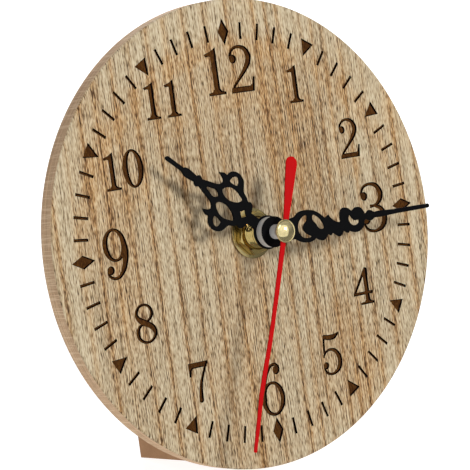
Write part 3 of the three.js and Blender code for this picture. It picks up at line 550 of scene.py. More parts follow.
def moved(mesh, angle=0.0, x=0.0, z=0.0):
    """Turned clockwise by a dial angle, then shifted over the dial."""
    mesh.transform(Matrix.Translation((x, 0, z)) @ Matrix.Rotation(radians(angle), 4, "Y"))
    return mesh


def set_up(name, data):
    """A new object in the scene."""
    made = bpy.data.objects.new(name, data)
    bpy.context.scene.collection.objects.link(made)
    return made


def dress(mesh, stands_for, body="clock_frame", crease=35):
    """Puts a dial-frame mesh on its body, in place of the solids it stands for."""
    work = bmesh.new()
    work.from_mesh(mesh)
    bmesh.ops.remove_doubles(work, verts=work.verts, dist=1e-5)
    bmesh.ops.dissolve_degenerate(work, edges=work.edges, dist=1e-6)
    bmesh.ops.recalc_face_normals(work, faces=work.faces)
    work.to_mesh(mesh)
    work.free()
    mesh.transform(DIAL)
    mesh.shade_smooth()
    mesh.set_sharp_from_angle(angle=radians(crease))
    piece = set_up(mesh.name, mesh)
    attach(piece, body)
    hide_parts(*stands_for)


# Geometry Nodes

def node_group(name, inputs):
    """A geometry tree with named inputs; gives the graph and a wire for each, in order."""
    tree = bpy.data.node_groups.new(name, "GeometryNodeTree")
    for label, kind in inputs:
        tree.interface.new_socket(name=label, in_out="INPUT", socket_type="NodeSocket" + kind)
    tree.interface.new_socket(name="Geometry", in_out="OUTPUT", socket_type="NodeSocketGeometry")
    graph = Graph(tree)
    entry = graph.node("NodeGroupInput").socket.node
    return graph, [Wire(graph, entry.outputs[label]) for label, _ in inputs]


def close_group(graph, geometry, finish):
    """Ends a tree in plain faces with their finish."""
    real = graph.node("GeometryNodeRealizeInstances", {"Geometry": geometry})
    painted = graph.node("GeometryNodeSetMaterial", {"Geometry": real, "Material": finish})
    graph.node("NodeGroupOutput", {"Geometry": painted})
    return graph.tree


def grown(name, tree, values, mesh=None):
    """The plain mesh that a tree makes from its values."""
    carrier = set_up(name, mesh or bpy.data.meshes.new(name))
    modifier = carrier.modifiers.new(name, "NODES")
    modifier.node_group = tree
    for socket in tree.interface.items_tree:
        if socket.in_out == "INPUT" and socket.name in values:
            modifier[socket.identifier] = values[socket.name]
    settled = carrier.evaluated_get(bpy.context.evaluated_depsgraph_get())
    made = bpy.data.meshes.new_from_object(settled)
    carrier.modifiers.remove(modifier)
    bpy.data.objects.remove(carrier)
    made.name = name
    return made


MARK_INPUTS = [
    ("Places", "Int"), ("Leave every", "Int"), ("Ring radius", "Float"), ("Corners", "Int"),
    ("Corner turn", "Float"), ("Half length", "Float"), ("Half width", "Float"),
    ("Finish", "Material"),
]


def ring_of_marks():
    """Many-cornered flat marks set round a ring, with every so-manyeth place left out."""
    graph, given = node_group("ring_of_marks", MARK_INPUTS)
    places, leave, radius, corners, turn, half_length, half_width, finish = given
    shape = {"Vertices": corners, "Radius": 1.0}
    mark = graph.node("GeometryNodeMeshCircle", shape, fill_type="NGON")
    mark = graph.node("GeometryNodeTransform", {"Geometry": mark, "Rotation": graph.vector(Z=turn)})
    size = graph.vector(X=half_length, Y=half_width, Z=1.0)
    mark = graph.node("GeometryNodeTransform", {"Geometry": mark, "Scale": size})
    ring = graph.node("GeometryNodeMeshCircle", {"Vertices": places, "Radius": radius})
    number = graph.node("GeometryNodeInputIndex")
    keep = number.math("MODULO", leave) + leave.math("LESS_THAN", 0.5)
    facing = graph.vector(Z=number * (2 * pi) / places)
    set_out = {"Points": ring, "Selection": keep, "Instance": mark, "Rotation": facing}
    marks = graph.node("GeometryNodeInstanceOnPoints", set_out)
    return close_group(graph, marks, finish)


def polar(graph):
    """The parts of a place, then its distance and angle about the Y axis."""
    x, y, z = graph.parts(graph.node("GeometryNodeInputPosition"))
    return x, y, z, (x * x + z * z).math("SQRT"), z.math("ARCTAN2", x)


def radial(graph, geometry, x, y, z, share):
    """Geometry with x and z scaled by a share of their distance from the axis."""
    place = graph.vector(X=x * share, Y=y, Z=z * share)
    return graph.node("GeometryNodeSetPosition", {"Geometry": geometry, "Position": place})


def cut_thread():
    """A screw thread cut into the round part of a turned piece, with a short run in and out."""
    graph, given = node_group("cut_thread", [
        ("Turned piece", "Geometry"), ("Crest radius", "Float"), ("Pitch", "Float"),
        ("Depth", "Float"), ("Start", "Float"), ("End", "Float"), ("Finish", "Material"),
    ])
    piece, crest_radius, pitch, depth, start, end, finish = given
    run, slack = 0.3, 0.02
    x, y, z, radius, angle = polar(graph)
    phase = (y / pitch + angle / (2 * pi)).math("FRACT")
    groove = (phase * 2.0 - 1.0).math("ABSOLUTE")
    crest = radius.math("GREATER_THAN", crest_radius - slack)
    begun, ended = (y - start).above(0.0, run), (end - y).above(0.0, run)
    share = 1.0 - crest * begun * ended * groove * depth / radius
    return close_group(graph, radial(graph, piece, x, y, z, share), finish)


def grip_ribs():
    """Rounded finger ribs round a turned knob."""
    graph, given = node_group("grip_ribs", [
        ("Turned piece", "Geometry"), ("Ribs", "Float"), ("Depth", "Float"),
        ("Inner radius", "Float"), ("Outer radius", "Float"), ("Finish", "Material"),
    ])
    piece, ribs, depth, inner, outer, finish = given
    least = 0.1
    x, y, z, radius, angle = polar(graph)
    wave = 0.5 - 0.5 * (angle * ribs).math("COSINE")
    rise = ((radius - inner) / (outer - inner)).above(0.0, 1.0)
    share = 1.0 - wave * depth * rise / radius.math("MAXIMUM", least)
    return close_group(graph, radial(graph, piece, x, y, z, share), finish)


# Numerals of the dial: parts of each digit, all drawn to one height
# shape: corners; pen: x, z and width of a stroke; ball: x, z, radius; bowl: x, z, radii, widths
DIGIT_HEIGHT = 10
DIGITS = {
    "0": [("bowl", 3.25, 5.0, 3.25, 5.0, 1.66, 0.48)],
    "1": [
        ("shape", [(-0.72, 0.3), (0.72, 0.3), (0.72, 10.0), (0.3, 9.75), (-0.72, 9.2)]),
        ("shape", [(-2.25, 0), (2.25, 0), (2.25, 0.42), (1.25, 0.6), (0.72, 1.25), (-0.72, 1.25),
                   (-1.25, 0.6), (-2.25, 0.42)]),
        ("shape", [(-2.3, 8.75), (-2.05, 8.3), (-1.2, 8.4), (0.2, 7.9), (0.2, 9.55), (-0.9, 9.15)]),
    ],
    "2": [
        ("ball", 1.25, 7.25, 0.88),
        ("pen", [(0.55, 7.3, 0.35), (0.62, 8.3, 0.48), (1.55, 9.4, 0.5), (3.05, 9.74, 0.55),
                 (4.65, 9.15, 0.95), (5.45, 7.6, 1.35), (5.1, 6.1, 1.25), (4.0, 4.6, 0.95),
                 (2.4, 2.95, 0.66), (1.1, 1.7, 0.52), (0.4, 0.75, 0.5)]),
        ("shape", [(0, 0), (6.0, 0), (6.45, 2.9), (6.08, 2.95), (5.7, 1.55), (5.2, 1.1), (0.6, 1.1),
                   (0.17, 0.92), (0, 0.5)]),
    ],
    "3": [
        ("ball", 0.95, 7.5, 0.82),
        ("pen", [(0.3, 7.5, 0.3), (0.35, 8.4, 0.45), (1.15, 9.4, 0.5), (2.7, 9.78, 0.5),
                 (4.4, 9.25, 0.9), (5.3, 7.6, 1.2), (4.75, 6.15, 0.9), (3.5, 5.4, 0.45),
                 (2.2, 5.3, 0.6)]),
        ("pen", [(3.2, 5.35, 0.35), (4.9, 4.6, 0.85), (5.65, 2.9, 1.3), (4.95, 1.1, 1.05),
                 (3.0, 0.26, 0.5), (1.1, 0.7, 0.5), (0.3, 1.8, 0.45), (0.35, 2.6, 0.3)]),
        ("ball", 0.95, 2.7, 0.84),
    ],
    "4": [
        ("shape", [(4.15, 0.3), (5.62, 0.3), (5.62, 9.7), (5.2, 10), (4.6, 9.6), (4.15, 8.6)]),
        ("pen", [(5.1, 9.75, 0.76), (2.6, 6.3, 0.7), (0.34, 3.02, 0.66)]),
        ("shape", [(0, 2.7), (6.85, 2.7), (6.85, 3.38), (0.1, 3.38)]),
        ("shape", [(2.35, 0), (7.0, 0), (7.0, 0.42), (6.1, 0.6), (5.57, 1.2), (4.22, 1.2),
                   (3.7, 0.6), (2.35, 0.42)]),
    ],
    "5": [
        ("pen", [(1.15, 9.7, 0.55), (0.88, 7.8, 0.5), (0.7, 5.5, 0.5)]),
        ("pen", [(1.05, 9.45, 0.9), (2.6, 9.1, 1.15), (4.2, 9.1, 1.1), (5.1, 9.45, 0.7),
                 (5.7, 9.85, 0.3)]),
        ("pen", [(0.4, 4.6, 0.35), (1.0, 5.6, 0.45), (2.5, 6.2, 0.5), (4.3, 5.5, 0.95),
                 (5.25, 3.5, 1.3), (4.65, 1.35, 1.1), (2.8, 0.27, 0.5), (1.0, 0.65, 0.48),
                 (0.3, 1.75, 0.42), (0.3, 2.5, 0.3)]),
        ("ball", 0.85, 2.5, 0.78),
    ],
    "6": [
        ("bowl", 2.84, 3.25, 2.8, 3.25, 1.05, 0.45),
        ("pen", [(0.66, 3.1, 1.15), (0.85, 5.4, 1.1), (1.6, 7.6, 0.85), (2.85, 9.3, 0.55),
                 (3.95, 9.72, 0.48), (4.75, 9.3, 0.45), (5.05, 8.6, 0.35)]),
        ("ball", 4.35, 8.55, 0.78),
    ],
    "7": [
        ("shape", [(0, 10), (0, 6.8), (0.4, 6.75), (0.75, 8.3), (1.3, 8.75), (5.1, 8.75),
                   (5.75, 9.4), (5.75, 10)]),
        ("pen", [(5.3, 9.4, 0.6), (4.6, 7.9, 0.55), (3.6, 5.8, 0.68), (2.95, 3.7, 0.95),
                 (2.7, 1.7, 1.12), (2.62, 0.6, 1.12)]),
        ("ball", 2.62, 0.62, 0.6),
    ],
    "8": [
        ("bowl", 3.06, 7.62, 2.72, 2.38, 0.82, 0.46),
        ("bowl", 3.16, 2.66, 3.15, 2.66, 0.95, 0.46),
        ("pen", [(0.75, 8.4, 0.5), (0.78, 7.2, 0.9), (1.5, 6.1, 1.3), (2.9, 5.25, 1.45),
                 (4.4, 4.4, 1.4), (5.5, 3.2, 1.1), (5.75, 2.1, 0.8)]),
    ],
    "9": [
        ("bowl", 2.76, 6.76, 2.74, 3.22, 1.15, 0.42),
        ("pen", [(5.0, 7.2, 1.0), (5.12, 5.6, 1.3), (4.95, 3.8, 1.25), (4.35, 2.0, 1.0),
                 (3.35, 0.7, 0.68), (2.4, 0.27, 0.5), (1.4, 0.4, 0.46), (0.6, 1.1, 0.46),
                 (0.5, 1.8, 0.35)]),
        ("ball", 1.18, 1.95, 0.8),
    ],
}

# Digit, left edge (of a one: its stem's middle), foot and height on the dial
NUMERALS = [
    ("1", -4.39, 36.02, 11.9), ("2", 0.17, 35.92, 11.9), ("1", 20.64, 31.4, 9.6),
    ("2", 32.87, 15.03, 10.3), ("3", 37.33, -5.66, 13.2), ("4", 30.57, -23.9, 9.6),
    ("5", 17.37, -40.31, 10.8), ("6", -4.08, -47.13, 13.4), ("7", -25.2, -39.52, 10.1),
    ("8", -39.18, -22.14, 9.8), ("9", -45.41, -5.3, 12.5), ("1", -39.58, 16.35, 9.2),
    ("0", -36.38, 16.25, 9.4), ("1", -24.88, 32.16, 9.1), ("1", -18.58, 32.16, 9.1),
]


# Rings of marks, by the inputs of ring_of_marks
MARK_RINGS = [
    ("minute_ticks", 60, 5, 51.45, 4, pi / 4, 2.15 * sqrt(2), 0.37 * sqrt(2)),
    ("hour_triangles", 12, 3, 52.1, 3, pi, 2.8, 2.4),
    ("quarter_diamonds", 4, 0, 51.35, 4, 0.0, 3.4, 1.72),
]


def pen_stroke(points, trim):
    """Outline of a stroke of changing width, drawn in by trim all round."""
    thinnest = 0.06
    line = spline(points, steps=5)
    middle, half = line[:, :2].copy(), np.maximum(line[:, 2:] / 2 - trim, thinnest)
    ahead = np.gradient(middle, axis=0)
    ahead /= np.linalg.norm(ahead, axis=1)[:, None]
    side = np.stack((-ahead[:, 1], ahead[:, 0]), 1) * half
    middle[0] += ahead[0] * trim
    middle[-1] -= ahead[-1] * trim
    return tidy_loop(middle + side, (middle - side)[::-1])


def digit_parts(digit, left, foot, height, trim):
    """Loops that together make one digit, drawn in by trim."""
    k = height / DIGIT_HEIGHT
    loops = []
    for kind, *facts in DIGITS[digit]:
        if kind == "shape":
            corners = np.array(facts[0]) * k + (left, foot)
            loops.append(inset(tidy_loop(corners), trim))
        elif kind == "pen":
            loops.append(pen_stroke(np.array(facts[0]) * k + (left, foot, 0), trim))
        elif kind == "ball":
            x, z, radius = np.array(facts) * k
            loops.append(circle(radius - trim, left + x, foot + z, 28))
        else:
            x, z, wide, tall, sides, ends = np.array(facts) * k
            middle = (left + x, foot + z)
            for start in (0, pi):
                half = arc(0, 0, 1, start, start + pi, 32)
                outer = half * (wide - trim, tall - trim) + middle
                inner = half * (wide - sides + trim, tall - ends + trim) + middle
                loops.append(tidy_loop(outer, inner[::-1]))
    return loops


def burnt_marks():
    """The loops round the rims and the floors of all burnt marks."""
    tree = ring_of_marks()
    labels = [label for label, _ in MARK_INPUTS]
    rims, floors = [], []
    for name, *values in MARK_RINGS:
        made = grown(name, tree, dict(zip(labels, [*values, look["burn"]])))
        for polygon in made.polygons:
            corners = np.array([made.vertices[i].co[:2] for i in polygon.vertices])
            rims.append(tidy_loop(corners + MARKS_CENTRE))
            floors.append(inset(rims[-1], BURN_EDGE))
        bpy.data.meshes.remove(made)
    for numeral in NUMERALS:
        rims += digit_parts(*numeral, -BURN_SPREAD)
        floors += digit_parts(*numeral, BURN_EDGE - BURN_SPREAD)
    return rims, floors


def dial_mesh():
    """The board with its marks burnt in: one closed skin."""
    arris, sides, hole_sides = 0.3, 288, 64
    finishes = [look[n] for n in ("face", "char", "burn", "rim", "back")]
    face, char, burn, rim, back = range(len(finishes))
    rims, floors = burnt_marks()
    edge_loop = circle(DIAL_RADIUS - arris, steps=sides)
    hole_loop = circle(POST_HOLE, steps=hole_sides)
    loops = [edge_loop, hole_loop, *rims, *floors]
    points = [Vector(p) for loop in loops for p in loop]
    found = delaunay_2d_cdt(points, [], numbered(loops), 1, 1e-6)
    flat, _, triangles, _, _, owners = found
    first_floor = 2 + len(rims)
    skin, kind = [], []
    for triangle, owner in zip(triangles, owners):
        if 1 in owner or 0 not in owner:
            continue
        skin.append(tuple(triangle))
        kind.append(burn if max(owner) >= first_floor else char if max(owner) > 1 else face)
    surface = {i for t, k in zip(skin, kind) if k == face for i in t}
    placed = [(p.x, 0.0 if i in surface else BURN_DEPTH, p.y) for i, p in enumerate(flat)]

    def ring(radius, y, steps):
        begin = len(placed)
        placed.extend((x, y, z) for x, z in circle(radius, steps=steps))
        return list(range(begin, begin + steps))

    def wall(near, far, finish):
        skin.extend(bridge([near], [far]))
        kind.extend([finish] * len(near))

    lip = ring(DIAL_RADIUS - arris, 0.0, sides)
    edge = ring(DIAL_RADIUS, arris, sides)
    heel = ring(DIAL_RADIUS, DIAL_THICKNESS - arris, sides)
    rear = ring(DIAL_RADIUS - arris, DIAL_THICKNESS, sides)
    near_hole = ring(POST_HOLE, 0.0, hole_sides)
    far_hole = ring(POST_HOLE, DIAL_THICKNESS, hole_sides)
    wall(lip, edge, face)
    wall(edge, heel, rim)
    wall(heel, rear, rim)
    wall(near_hole, far_hole, rim)
    rear_points = rear + far_hole[::-1]
    rear_cap = fill([edge_loop, hole_loop[::-1]])
    skin += [tuple(rear_points[i] for i in triangle) for triangle in rear_cap]
    kind += [back] * len(rear_cap)
    return mesh_of("engraved_dial", placed, skin, finishes, kind)


dress(dial_mesh(), ["dial_board"], crease=20)


def foot_mesh():
    side, low, high = 24, -54.4, -39.4
    corners = [(-side, low), (side, low), (side, high), (-side, high)]
    outline = tidy_loop(np.array(corners, float))
    return plate("block_foot", outline, [], front=5.1, back=29.1, arris=0.25, finish=look["foot"])


dress(foot_mesh(), ["stand_foot"])


# Brass clamp

def ring_mesh(name, finish, bore, radius, front, back, ease=0.12, sides=96):
    """A turned ring with its edges eased."""
    profile = [(bore, front), (radius, front), (radius, back), (bore, back)]
    return turned(name, soften(profile, ease), [look[finish]], sides)


def nut_mesh():
    """Six flats with their corners turned off at both ends, and a countersunk bore."""
    flats, front, back, bore, turn = 5.0, -2.7, -0.68, 4.0, radians(14.5)
    arris, sink, blunt, chamfer_start, chamfer_slope = 0.12, 0.3, 0.05, 5.3, 0.45
    angle = np.linspace(0, 2 * pi, 193)[:-1] + turn
    off_flat = np.mod(angle - turn, pi / 3) - pi / 6
    hexagon = np.minimum(flats / np.cos(off_flat), flats / cos(pi / 6) - blunt)
    face = np.minimum(hexagon, chamfer_start) - arris
    drop = arris + chamfer_slope * np.maximum(hexagon - chamfer_start, 0)
    level = np.ones_like(angle)
    rings = [
        (bore + sink, front), (face, front), (hexagon, front + drop), (hexagon, back - drop),
        (face, back), (bore, back), (bore, front + sink),
    ]
    points = []
    for reach, depth in rings:
        points += zip(reach * np.cos(angle), depth * level, reach * np.sin(angle))
    rows = numbered([angle] * len(rings))
    return mesh_of("brass_nut", points, bridge(rows, rows[1:] + rows[:1]), [look["nut"]])


def post_mesh():
    crest, bore, front, end = 3.9, 2.6, -5.9, -2.3
    profile = [(bore, front + 0.2), (bore + 0.2, front), (crest - 0.35, front)]
    profile += [(crest, y) for y in np.arange(front + 0.35, end, 0.06)]
    profile += [(crest, 7.7), (5.2, 7.7), (5.2, 8.3), (bore, 8.3)]
    blank = turned("threaded_brass_post", profile, [look["nut"]])
    values = {"Crest radius": crest, "Pitch": 0.75, "Depth": 0.34, "Start": front + 0.3,
              "End": end, "Finish": look["nut"]}
    return grown(blank.name, cut_thread(), values, blank)


washer = ring_mesh("brass_washer", "clamp", bore=4.1, radius=6.45, front=-0.6, back=-0.08)
gasket = ring_mesh("rubber_ring", "rubber", bore=4.2, radius=9.0, front=5.1, back=6.0, ease=0.2)
dress(washer, ["clamp_washer"])
dress(nut_mesh(), ["hex_nut"], crease=24)
dress(post_mesh(), ["threaded_post"], crease=50)
dress(gasket, ["rubber_gasket"])


# Hands, pointing to twelve until they are turned

def hour_hand_mesh():
    hub, stem, tip = 4.3, 1.45, 0.55
    top = arc(0, 36.0 - tip, tip, pi / 2, 0, 10)
    side = stretches(top[-1], [
        [(tip, 30.2)],
        [(0.9, 29.7), (1.12, 28.4), (0.85, 25.8)],
        [(1.35, 25.4), (1.5, 24.8), (1.05, 23.9)],
        [(1.75, 21.6), (2.35, 19.6), (3.0, 18.6), (3.9, 18.2), (4.6, 18.8), (5.3, 20.4)],
        [(6.0, 19.0), (5.9, 17.9)],
        [(7.5, 17.1), (8.2, 15.0), (7.4, 12.9), (5.6, 11.9)],
        [(4.8, 11.3), (4.2, 10.1), (3.4, 9.1)],
        [(3.75, 8.3), (3.3, 7.5), (2.5, 7.1)],
        [(stem, 6.8)],
    ])
    foot = arc(0, 0, hub, acos(stem / hub), -pi / 2, 40)
    right = np.concatenate((top, side[1:], foot))
    outline = tidy_loop(right, right[1:-1][::-1] * (-1, 1))
    leaf = [(0, 21.9), (0.75, 20.2), (0.95, 18.9), (0, 17.7), (-0.95, 18.9), (-0.75, 20.2)]
    lens = np.array([(2.1, 17.4), (3.6, 15.9), (4.05, 14.0), (3.5, 11.8), (2.9, 10.8), (1.6, 11.9),
                     (0.75, 14.2), (1.0, 16.3)])
    scroll = np.array([(4.95, 16.3), (6.3, 16.2), (7.1, 15.0), (6.6, 14.1), (5.2, 14.0)])
    openings = [circle(2.56), tidy_loop(spline(leaf, True))]
    openings.append(tidy_loop(np.array([(0, 10.1), (1.15, 8.95), (0, 7.8), (-1.15, 8.95)])))
    for hand in (1, -1):
        openings += [tidy_loop(spline(shape * (hand, 1), True)) for shape in (lens, scroll)]
    return plate("pierced_hour_hand", outline, openings, front=-7.1, back=-6.5, arris=0.09,
                 finish=look["black"])


def minute_hand_mesh():
    hub, neck, tip = 3.93, 2.75, 0.55
    top = arc(0, 52.4 - tip, tip, pi, 0, 14)
    right = stretches(top[-1], [
        [(0.65, 40.0), (0.85, 35.0), (0.7, 33.3)],
        [(1.3, 32.0), (1.15, 31.0), (0.75, 30.2)],
        [(1.2, 29.6), (2.6, 29.1), (3.6, 27.3), (3.5, 25.5), (3.05, 24.4)],
        [(3.5, 23.6), (2.75, 22.4)],
        [(4.05, 20.9), (2.75, 18.7)],
        [(3.4, 18.0), (2.9, 17.2)],
        [(3.9, 16.3), (4.3, 15.2), (3.9, 13.9), (3.4, 13.1)],
        [(3.95, 12.0), (4.15, 10.4), (3.8, 8.4), (neck, 6.3)],
    ])
    angle = acos(neck / hub)
    foot = arc(0, 0, hub, angle, -pi - angle, 60)
    left = stretches(foot[-1], [
        [(-neck, 6.3), (-3.8, 8.2), (-4.15, 10.4), (-3.8, 12.9), (-2.8, 14.9), (-1.35, 16.7)],
        [(-2.0, 18.0)],
        [(-1.1, 18.6), (0.1, 20.3), (0.35, 21.6)],
        [(-1.6, 21.6), (-2.8, 22.3), (-3.15, 23.3), (-2.8, 24.7), (-1.9, 25.7)],
        [(-2.7, 27.0), (-2.6, 28.6), (-1.6, 29.6), (-0.55, 30.2)],
        [(-1.4, 31.2), (-1.35, 32.1), (-0.7, 33.3)],
        [(-0.85, 35.0), (-0.65, 40.0), (-tip, 52.4 - tip)],
    ])
    outline = tidy_loop(top, right[1:], foot, left[1:])
    leaf = [(-2.6, 12.9), (-2.1, 14.1), (-1.0, 15.3), (1.05, 16.1), (1.15, 14.6), (-0.4, 13.4),
            (-1.5, 12.6)]
    crescent = [(-2.75, 10.7), (-2.5, 9.4), (-1.2, 8.0), (0.6, 7.6), (2.4, 8.6), (3.0, 10.3),
                (2.8, 11.7), (2.1, 10.5), (1.0, 9.4), (0.1, 9.3), (-0.8, 9.9), (-1.6, 10.8)]
    scroll = [(-1.0, 24.9), (-0.1, 25.6), (0.55, 26.4), (0.6, 27.7), (1.3, 27.7), (1.8, 26.8),
              (1.7, 25.6), (1.0, 24.8), (0, 24.4)]
    openings = [circle(1.56)]
    openings += [tidy_loop(spline(shape, True)) for shape in (leaf, crescent, scroll)]
    return plate("pierced_minute_hand", outline, openings, front=-9.8, back=-9.3, arris=0.09,
                 finish=look["black"])


def second_hand_mesh():
    """A thin hand, slightly dished: its two ends lie nearer to the dial than its hub."""
    hub, neck, tip = 2.2, 0.75, 55.7
    angle = acos(neck / hub)
    tail = arc(0, -17.4, 1.75, pi, 2 * pi, 32)
    shaft = np.linspace(-15.5, -3.0, 8)
    flare = np.interp(shaft, (-17.4, -2.1), (1.75, neck))
    along = np.linspace(3.5, tip - 0.3, 34)
    half = np.interp(along, (2.1, 20, 38, tip), (neck, 0.6, 0.65, 0.48))
    right = np.concatenate((
        np.stack((flare, shaft), 1), arc(0, 0, hub, -angle, angle, 24),
        np.stack((half, along), 1), [(0.3, tip)],
    ))
    outline = tidy_loop(tail, right, right[::-1] * (-1, 1))
    mesh = plate("red_second_hand", outline, [circle(0.56, steps=40)], front=-13.95, back=-13.55,
                 arris=0.07, finish=look["red"])
    reach = (-19, -14, -8, -3, 14, 24, 30, 36, 41, 47, 56)
    dish = (0.75, 0.5, 0.2, 0.0, 0.0, 0.1, 0.4, 0.9, 1.15, 0.95, 0.75)
    for vertex in mesh.vertices:
        vertex.co.y += np.interp(vertex.co.z, reach, dish)
    return mesh


def cap_mesh():
    """A round crown with a narrow turned-up brim, and a blind socket for the arbor."""
    rim, crown, dome = 2.95, -15.6, 3.12
    sweep = np.linspace(0, asin(2.46 / dome), 25)
    profile = [(dome * sin(a), crown + dome * (1 - cos(a))) for a in sweep]
    profile += [(2.52, -14.31), (2.66, -14.3), (2.8, -14.36), (2.91, -14.33), (rim, -14.22)]
    profile += [(rim, -14.06), (2.89, -14.0), (0.6, -14.0), (0.6, -14.4), (0, -14.4)]
    return turned("domed_brass_cap", profile, [look["brass"]], 80)


dress(moved(hour_hand_mesh(), HOUR_ANGLE), ["hour_hand"], "hours")
dress(moved(minute_hand_mesh(), MINUTE_ANGLE), ["minute_hand"], "minutes")
dress(moved(second_hand_mesh(), SECOND_ANGLE), ["second_hand"], "seconds")
# Turned collars: name, finish, body, node, slot, then bore, radius, front and back
for name, finish, body, node, slot, *sizes in (
    ("hour_collar", "collar", "hours", "hour_hand_collar", "aluminium", 2.56, 3.85, -9.2, -7.15),
    ("minute_collar", "collar", "minutes", "minute_hand_collar", "aluminium",
     1.56, 1.85, -12.1, -9.85),
    ("second_boss", "brass", "seconds", "second_hand_boss", "brass", 0.56, 1.05, -13.5, -12.25),
):
    dress(ring_mesh(name, finish, *sizes, sides=80), [node], body)
dress(cap_mesh(), ["second_hand_cap"], "seconds", crease=40)


# Setting knob behind the movement

def knob_mesh():
    """One closed turning: dished crown, ribbed side, underside and a blind socket."""
    crown = [(0.0, 25.2), (2.2, 25.22), (4.3, 25.35), (4.6, 25.6), (5.45, 25.6)]
    sweep = np.linspace(0.3, pi / 2, 5)
    shoulder = [(5.45 + 0.55 * sin(a), 25.05 + 0.55 * cos(a)) for a in sweep]
    under = [(6.0, 22.75), (5.9, 22.5), (5.65, 22.4), (0.95, 22.4), (0.95, 24.7), (0.0, 24.7)]
    blank = turned("ribbed_knob", crown + shoulder + under, [look["casing"]], sides=216)
    values = {"Ribs": 18.0, "Depth": 0.7, "Inner radius": 4.7, "Outer radius": 5.7}
    return grown(blank.name, grip_ribs(), {**values, "Finish": look["casing"]}, blank)


dress(moved(knob_mesh(), 0.0, *KNOB_AXIS), ["setting_knob"], "motion_work")


# Case, cover and cell

def eased(name, node, width, picked):
    """A copy of a solid in dial millimetres with its picked sharp edges rounded over."""
    flat, sharp = radians(1), radians(50)
    mesh = bpy.data.meshes.new(name)
    work = bmesh.new()
    work.from_mesh(nodes[node].data)
    work.transform(DIAL.inverted() @ nodes[node].matrix_world)
    bmesh.ops.remove_doubles(work, verts=work.verts, dist=1e-3)
    bmesh.ops.dissolve_limit(work, angle_limit=flat, verts=work.verts, edges=work.edges)
    edges = [e for e in work.edges if e.is_manifold and e.calc_face_angle() > sharp]
    edges = [e for e in edges if all(picked(*v.co) for v in e.verts)]
    bmesh.ops.bevel(work, geom=edges, offset=width, segments=3, profile=0.5, affect="EDGES",
                    clamp_overlap=True)
    bmesh.ops.triangulate(work, faces=[face for face in work.faces if len(face.verts) > 4])
    work.to_mesh(mesh)
    work.free()
    mesh.materials.append(look["casing"])
    return mesh


def rectangle(left, bottom, right, top, corner, steps=6):
    """A rectangle with rounded corners."""
    ends = [right - corner, left + corner, left + corner, right - corner]
    levels = [top - corner, top - corner, bottom + corner, bottom + corner]
    starts = [k * pi / 2 for k in range(4)]
    return tidy_loop(*(
        arc(x, z, corner, start, start + pi / 2, steps)
        for x, z, start in zip(ends, levels, starts)
    ))


def joined(name, meshes):
    """Several meshes of the same finishes as one."""
    work = bmesh.new()
    for mesh in meshes:
        work.from_mesh(mesh)
    whole = bpy.data.meshes.new(name)
    work.to_mesh(whole)
    work.free()
    for finish in meshes[0].materials:
        whole.materials.append(finish)
    return whole


def sign_meshes():
    """Raised signs on the cover: how the knob turns, and which way round the cell goes in."""
    x, z = KNOB_AXIS
    shapes = []
    for start in (0.35, 0.35 + pi):
        tip = start + 1.75
        outer, inner = (arc(x, z, radius, start, tip, 21) for radius in (9.0, 8.3))
        barbs = ((9.7, tip), (8.65, tip + 0.2), (7.6, tip))
        head = [(x + r * cos(a), z + r * sin(a)) for r, a in barbs]
        shapes.append(tidy_loop(outer, head, inner[::-1]))
    bar, arm, aside, below = 1.3, 0.28, 22.0, -7.6
    quarter = np.array([(bar, -arm), (bar, arm), (arm, arm)])
    cross = [quarter, quarter[:, ::-1] * (-1, 1), -quarter, quarter[:, ::-1] * (1, -1)]
    shapes.append(tidy_loop(*cross) + (aside, below))
    shapes.append(rectangle(-aside - bar, below - arm, -aside + bar, below + arm, 0.1, 2))
    return [
        plate("sign", shape, [], front=22.05, back=22.4, arris=0.09, finish=look["casing"])
        for shape in shapes
    ]


def latch_meshes():
    """Snap latches that hold the cover, two on either side of the case."""
    wall = 28.0
    outline = rectangle(-3.0, 15.4, 3.0, 20.4, 0.6)
    latches = []
    for side in (1, -1):
        for z in (-2.0, 18.0):
            tab = plate("latch", outline, [], front=-0.55, back=0.2, arris=0.14,
                        finish=look["casing"])
            # the tab's own x runs along the wall, its z backwards and its y into the wall
            tab.transform(Matrix((
                (0, -side, 0, side * wall), (0, 0, 1, 0), (1, 0, 0, z), (0, 0, 0, 1),
            )))
            latches.append(tab)
    return latches


def cell_mesh():
    """A sleeved cell lying along the bay, its button towards three o'clock."""
    end, radius = 24.75, 7.1
    profile = [
        (0.0, -end + 0.12), (4.4, -end + 0.12), (4.7, -end), (6.2, -end), (6.5, -end + 0.25),
        (6.52, -end + 0.6), (6.8, -end + 0.5), (7.02, -end + 0.62), (radius, -end + 0.9),
        (radius, 13.5), (radius, 13.9), (radius, end - 0.9), (7.02, end - 0.62),
        (6.8, end - 0.5), (5.9, end - 0.46), (5.8, end - 0.75), (2.75, end - 0.55),
        (2.7, end + 0.95), (2.45, end + 1.2), (0.0, end + 1.2),
    ]
    finishes = [look["nickel"], look["sleeve"], look["band"]]
    bands = [0] * 5 + [1] * 4 + [2] * 5 + [0] * 6
    mesh = turned("sleeved_cell", profile, finishes, 72, bands)
    lying = Matrix.Rotation(-pi / 2, 4, "Z")
    mesh.transform(Matrix.Translation((-0.6, 14.9, -19.3)) @ lying)
    return mesh


def on_case_edge(x, y, z):
    return y > 20.5 or (y < 6.2 and max(abs(x), abs(z)) > 20)


def on_cover_edge(x, y, z):
    return y > 22.0


for name, node, width, picked in (
    ("moulded_case", "movement_case", 0.4, on_case_edge),
    ("moulded_cover", "rear_cover", 0.45, on_cover_edge),
):
    dress(eased(name, node, width, picked), [node])
dress(joined("moulded_signs", sign_meshes()), [])
dress(joined("cover_latches", latch_meshes()), [])
dress(cell_mesh(), ["battery_cell"])


